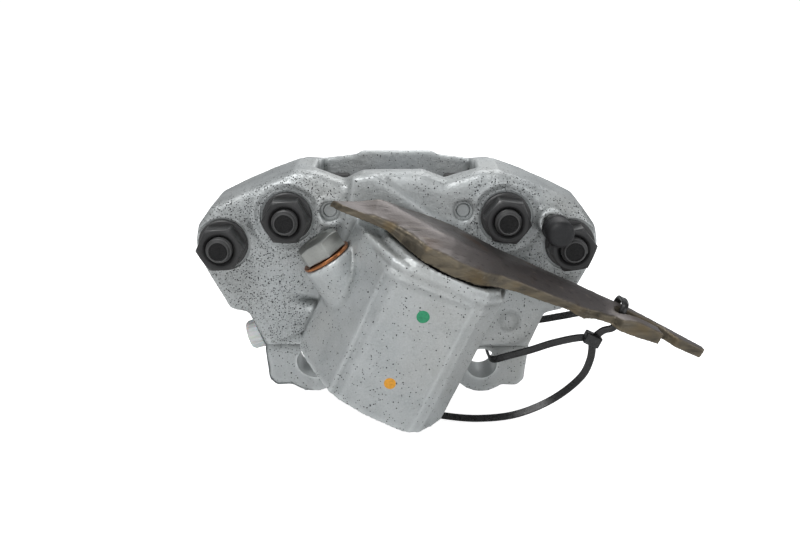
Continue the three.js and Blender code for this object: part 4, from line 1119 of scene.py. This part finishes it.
def run_of(route, step):
    """Even steps along a smooth line through the points, each with its tangent, width and rise."""
    spots = [np.array(p) for p, _ in route]
    sides = [np.array(w, float) / np.linalg.norm(w) for _, w in route]
    spots = [2 * spots[0] - spots[1], *spots, 2 * spots[-1] - spots[-2]]
    line, width = [], []
    for i in range(1, len(spots) - 2):
        p0, p1, p2, p3 = spots[i - 1:i + 3]
        t1 = np.linalg.norm(p1 - p0) ** 0.5
        t2 = t1 + np.linalg.norm(p2 - p1) ** 0.5
        t3 = t2 + np.linalg.norm(p3 - p2) ** 0.5
        for share in np.arange(24) / 24:
            t = t1 + (t2 - t1) * share
            a1 = p0 * (t1 - t) / t1 + p1 * t / t1
            a2 = p1 * (t2 - t) / (t2 - t1) + p2 * (t - t1) / (t2 - t1)
            a3 = p2 * (t3 - t) / (t3 - t2) + p3 * (t - t2) / (t3 - t2)
            b1 = a1 * (t2 - t) / t2 + a2 * t / t2
            b2 = a2 * (t3 - t) / (t3 - t1) + a3 * (t - t1) / (t3 - t1)
            line.append(b1 * (t2 - t) / (t2 - t1) + b2 * (t - t1) / (t2 - t1))
            width.append(sides[i - 1] * (1 - share) + sides[i] * share)
    line, width = np.array([*line, spots[-2]]), np.array([*width, sides[-1]])
    travelled = np.concatenate(([0], np.cumsum(np.linalg.norm(np.diff(line, axis=0), axis=1))))
    marks = np.arange(0, travelled[-1], step * mm)
    line, width = (
        np.stack([np.interp(marks, travelled, rows[:, k]) for k in range(3)], 1) for rows in (line, width)
    )
    ahead = np.gradient(line, axis=0)
    ahead /= np.linalg.norm(ahead, axis=1)[:, None]
    width -= ahead * (width * ahead).sum(1)[:, None]
    width /= np.linalg.norm(width, axis=1)[:, None]
    return line, ahead, width, np.cross(ahead, width)


def strap(name, route):
    """A flat strap with rounded edges, and a shallow channel down one face."""
    line, _, width, up = run_of(route, 0.8)
    h, t = strap_half, strap_thick / 2
    section = [
        (-h, -t * 0.5), (-h + 0.25, -t), (-h + 0.6, -t), (-h + 0.75, -t * 0.8), (h - 0.75, -t * 0.8),
        (h - 0.6, -t), (h - 0.25, -t), (h, -t * 0.5), (h, t * 0.5), (h - 0.25, t), (-h + 0.25, t),
        (-h, t * 0.5),
    ]
    points, faces = [], []
    for spot, side, rise in zip(line, width, up):
        points += [spot + (side * w + rise * r) * mm for w, r in section]
    n = len(section)
    for i in range(len(line) - 1):
        for k in range(n):
            m = (k + 1) % n
            faces.append((i * n + k, i * n + m, (i + 1) * n + m, (i + 1) * n + k))
    last = (len(line) - 1) * n
    faces += [tuple(range(n)), tuple(last + k for k in range(n - 1, -1, -1))]
    return made_of(name, points, faces, nylon, 40)


def teeth(name, route, start, stop):
    """The strap's ratchet teeth: small ribs across its channel, evenly spaced along the line."""
    def build(tree, entry):
        ahead, rise = (
            add(tree, "GeometryNodeInputNamedAttribute", {"Name": name}, data_type="FLOAT_VECTOR").outputs[0]
            for name in ("ahead", "rise")
        )
        axes = add(tree, "FunctionNodeAxesToRotation", {"Primary Axis": rise, "Secondary Axis": ahead},
                   primary_axis="Z", secondary_axis="X")
        tooth = add(tree, "GeometryNodeMeshCube", {"Size": entry["Tooth"]})
        return add(tree, "GeometryNodeInstanceOnPoints", {
            "Points": entry["Places"], "Instance": tooth.outputs[0], "Rotation": axes.outputs[0],
        }).outputs[0]
    line, ahead, _, up = (rows[start:-stop] for rows in run_of(route, 1.0))
    spots = line - up * (strap_thick / 2 - 0.1) * mm
    tooth = (0.4 * mm, 2.1 * mm, 0.32 * mm)
    return grown(name, build, spots, {"ahead": ahead, "rise": up}, Tooth=tooth, Finish=nylon)


corners = ((-3.9, -2.9), (3.9, -2.9), (3.9, 2.9), (-3.9, 2.9))
outline = [tie_head + (across * s + deep * y - upright * 2.7) * mm for s, y in corners]
head = slab("head", outline, 5.4, upright, nylon)
work = head.modifiers.new("rounding", "BEVEL")
work.width, work.segments, work.limit_method = 0.7 * mm, 3, "ANGLE"
settled(head, 30)
tie = joined("nylon_tie", strap("loop", loop), strap("tail", tail), teeth("tail_teeth", tail, 3, 2), head)
shaded(tie.data, 40)
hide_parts("cable_tie")
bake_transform(tie)
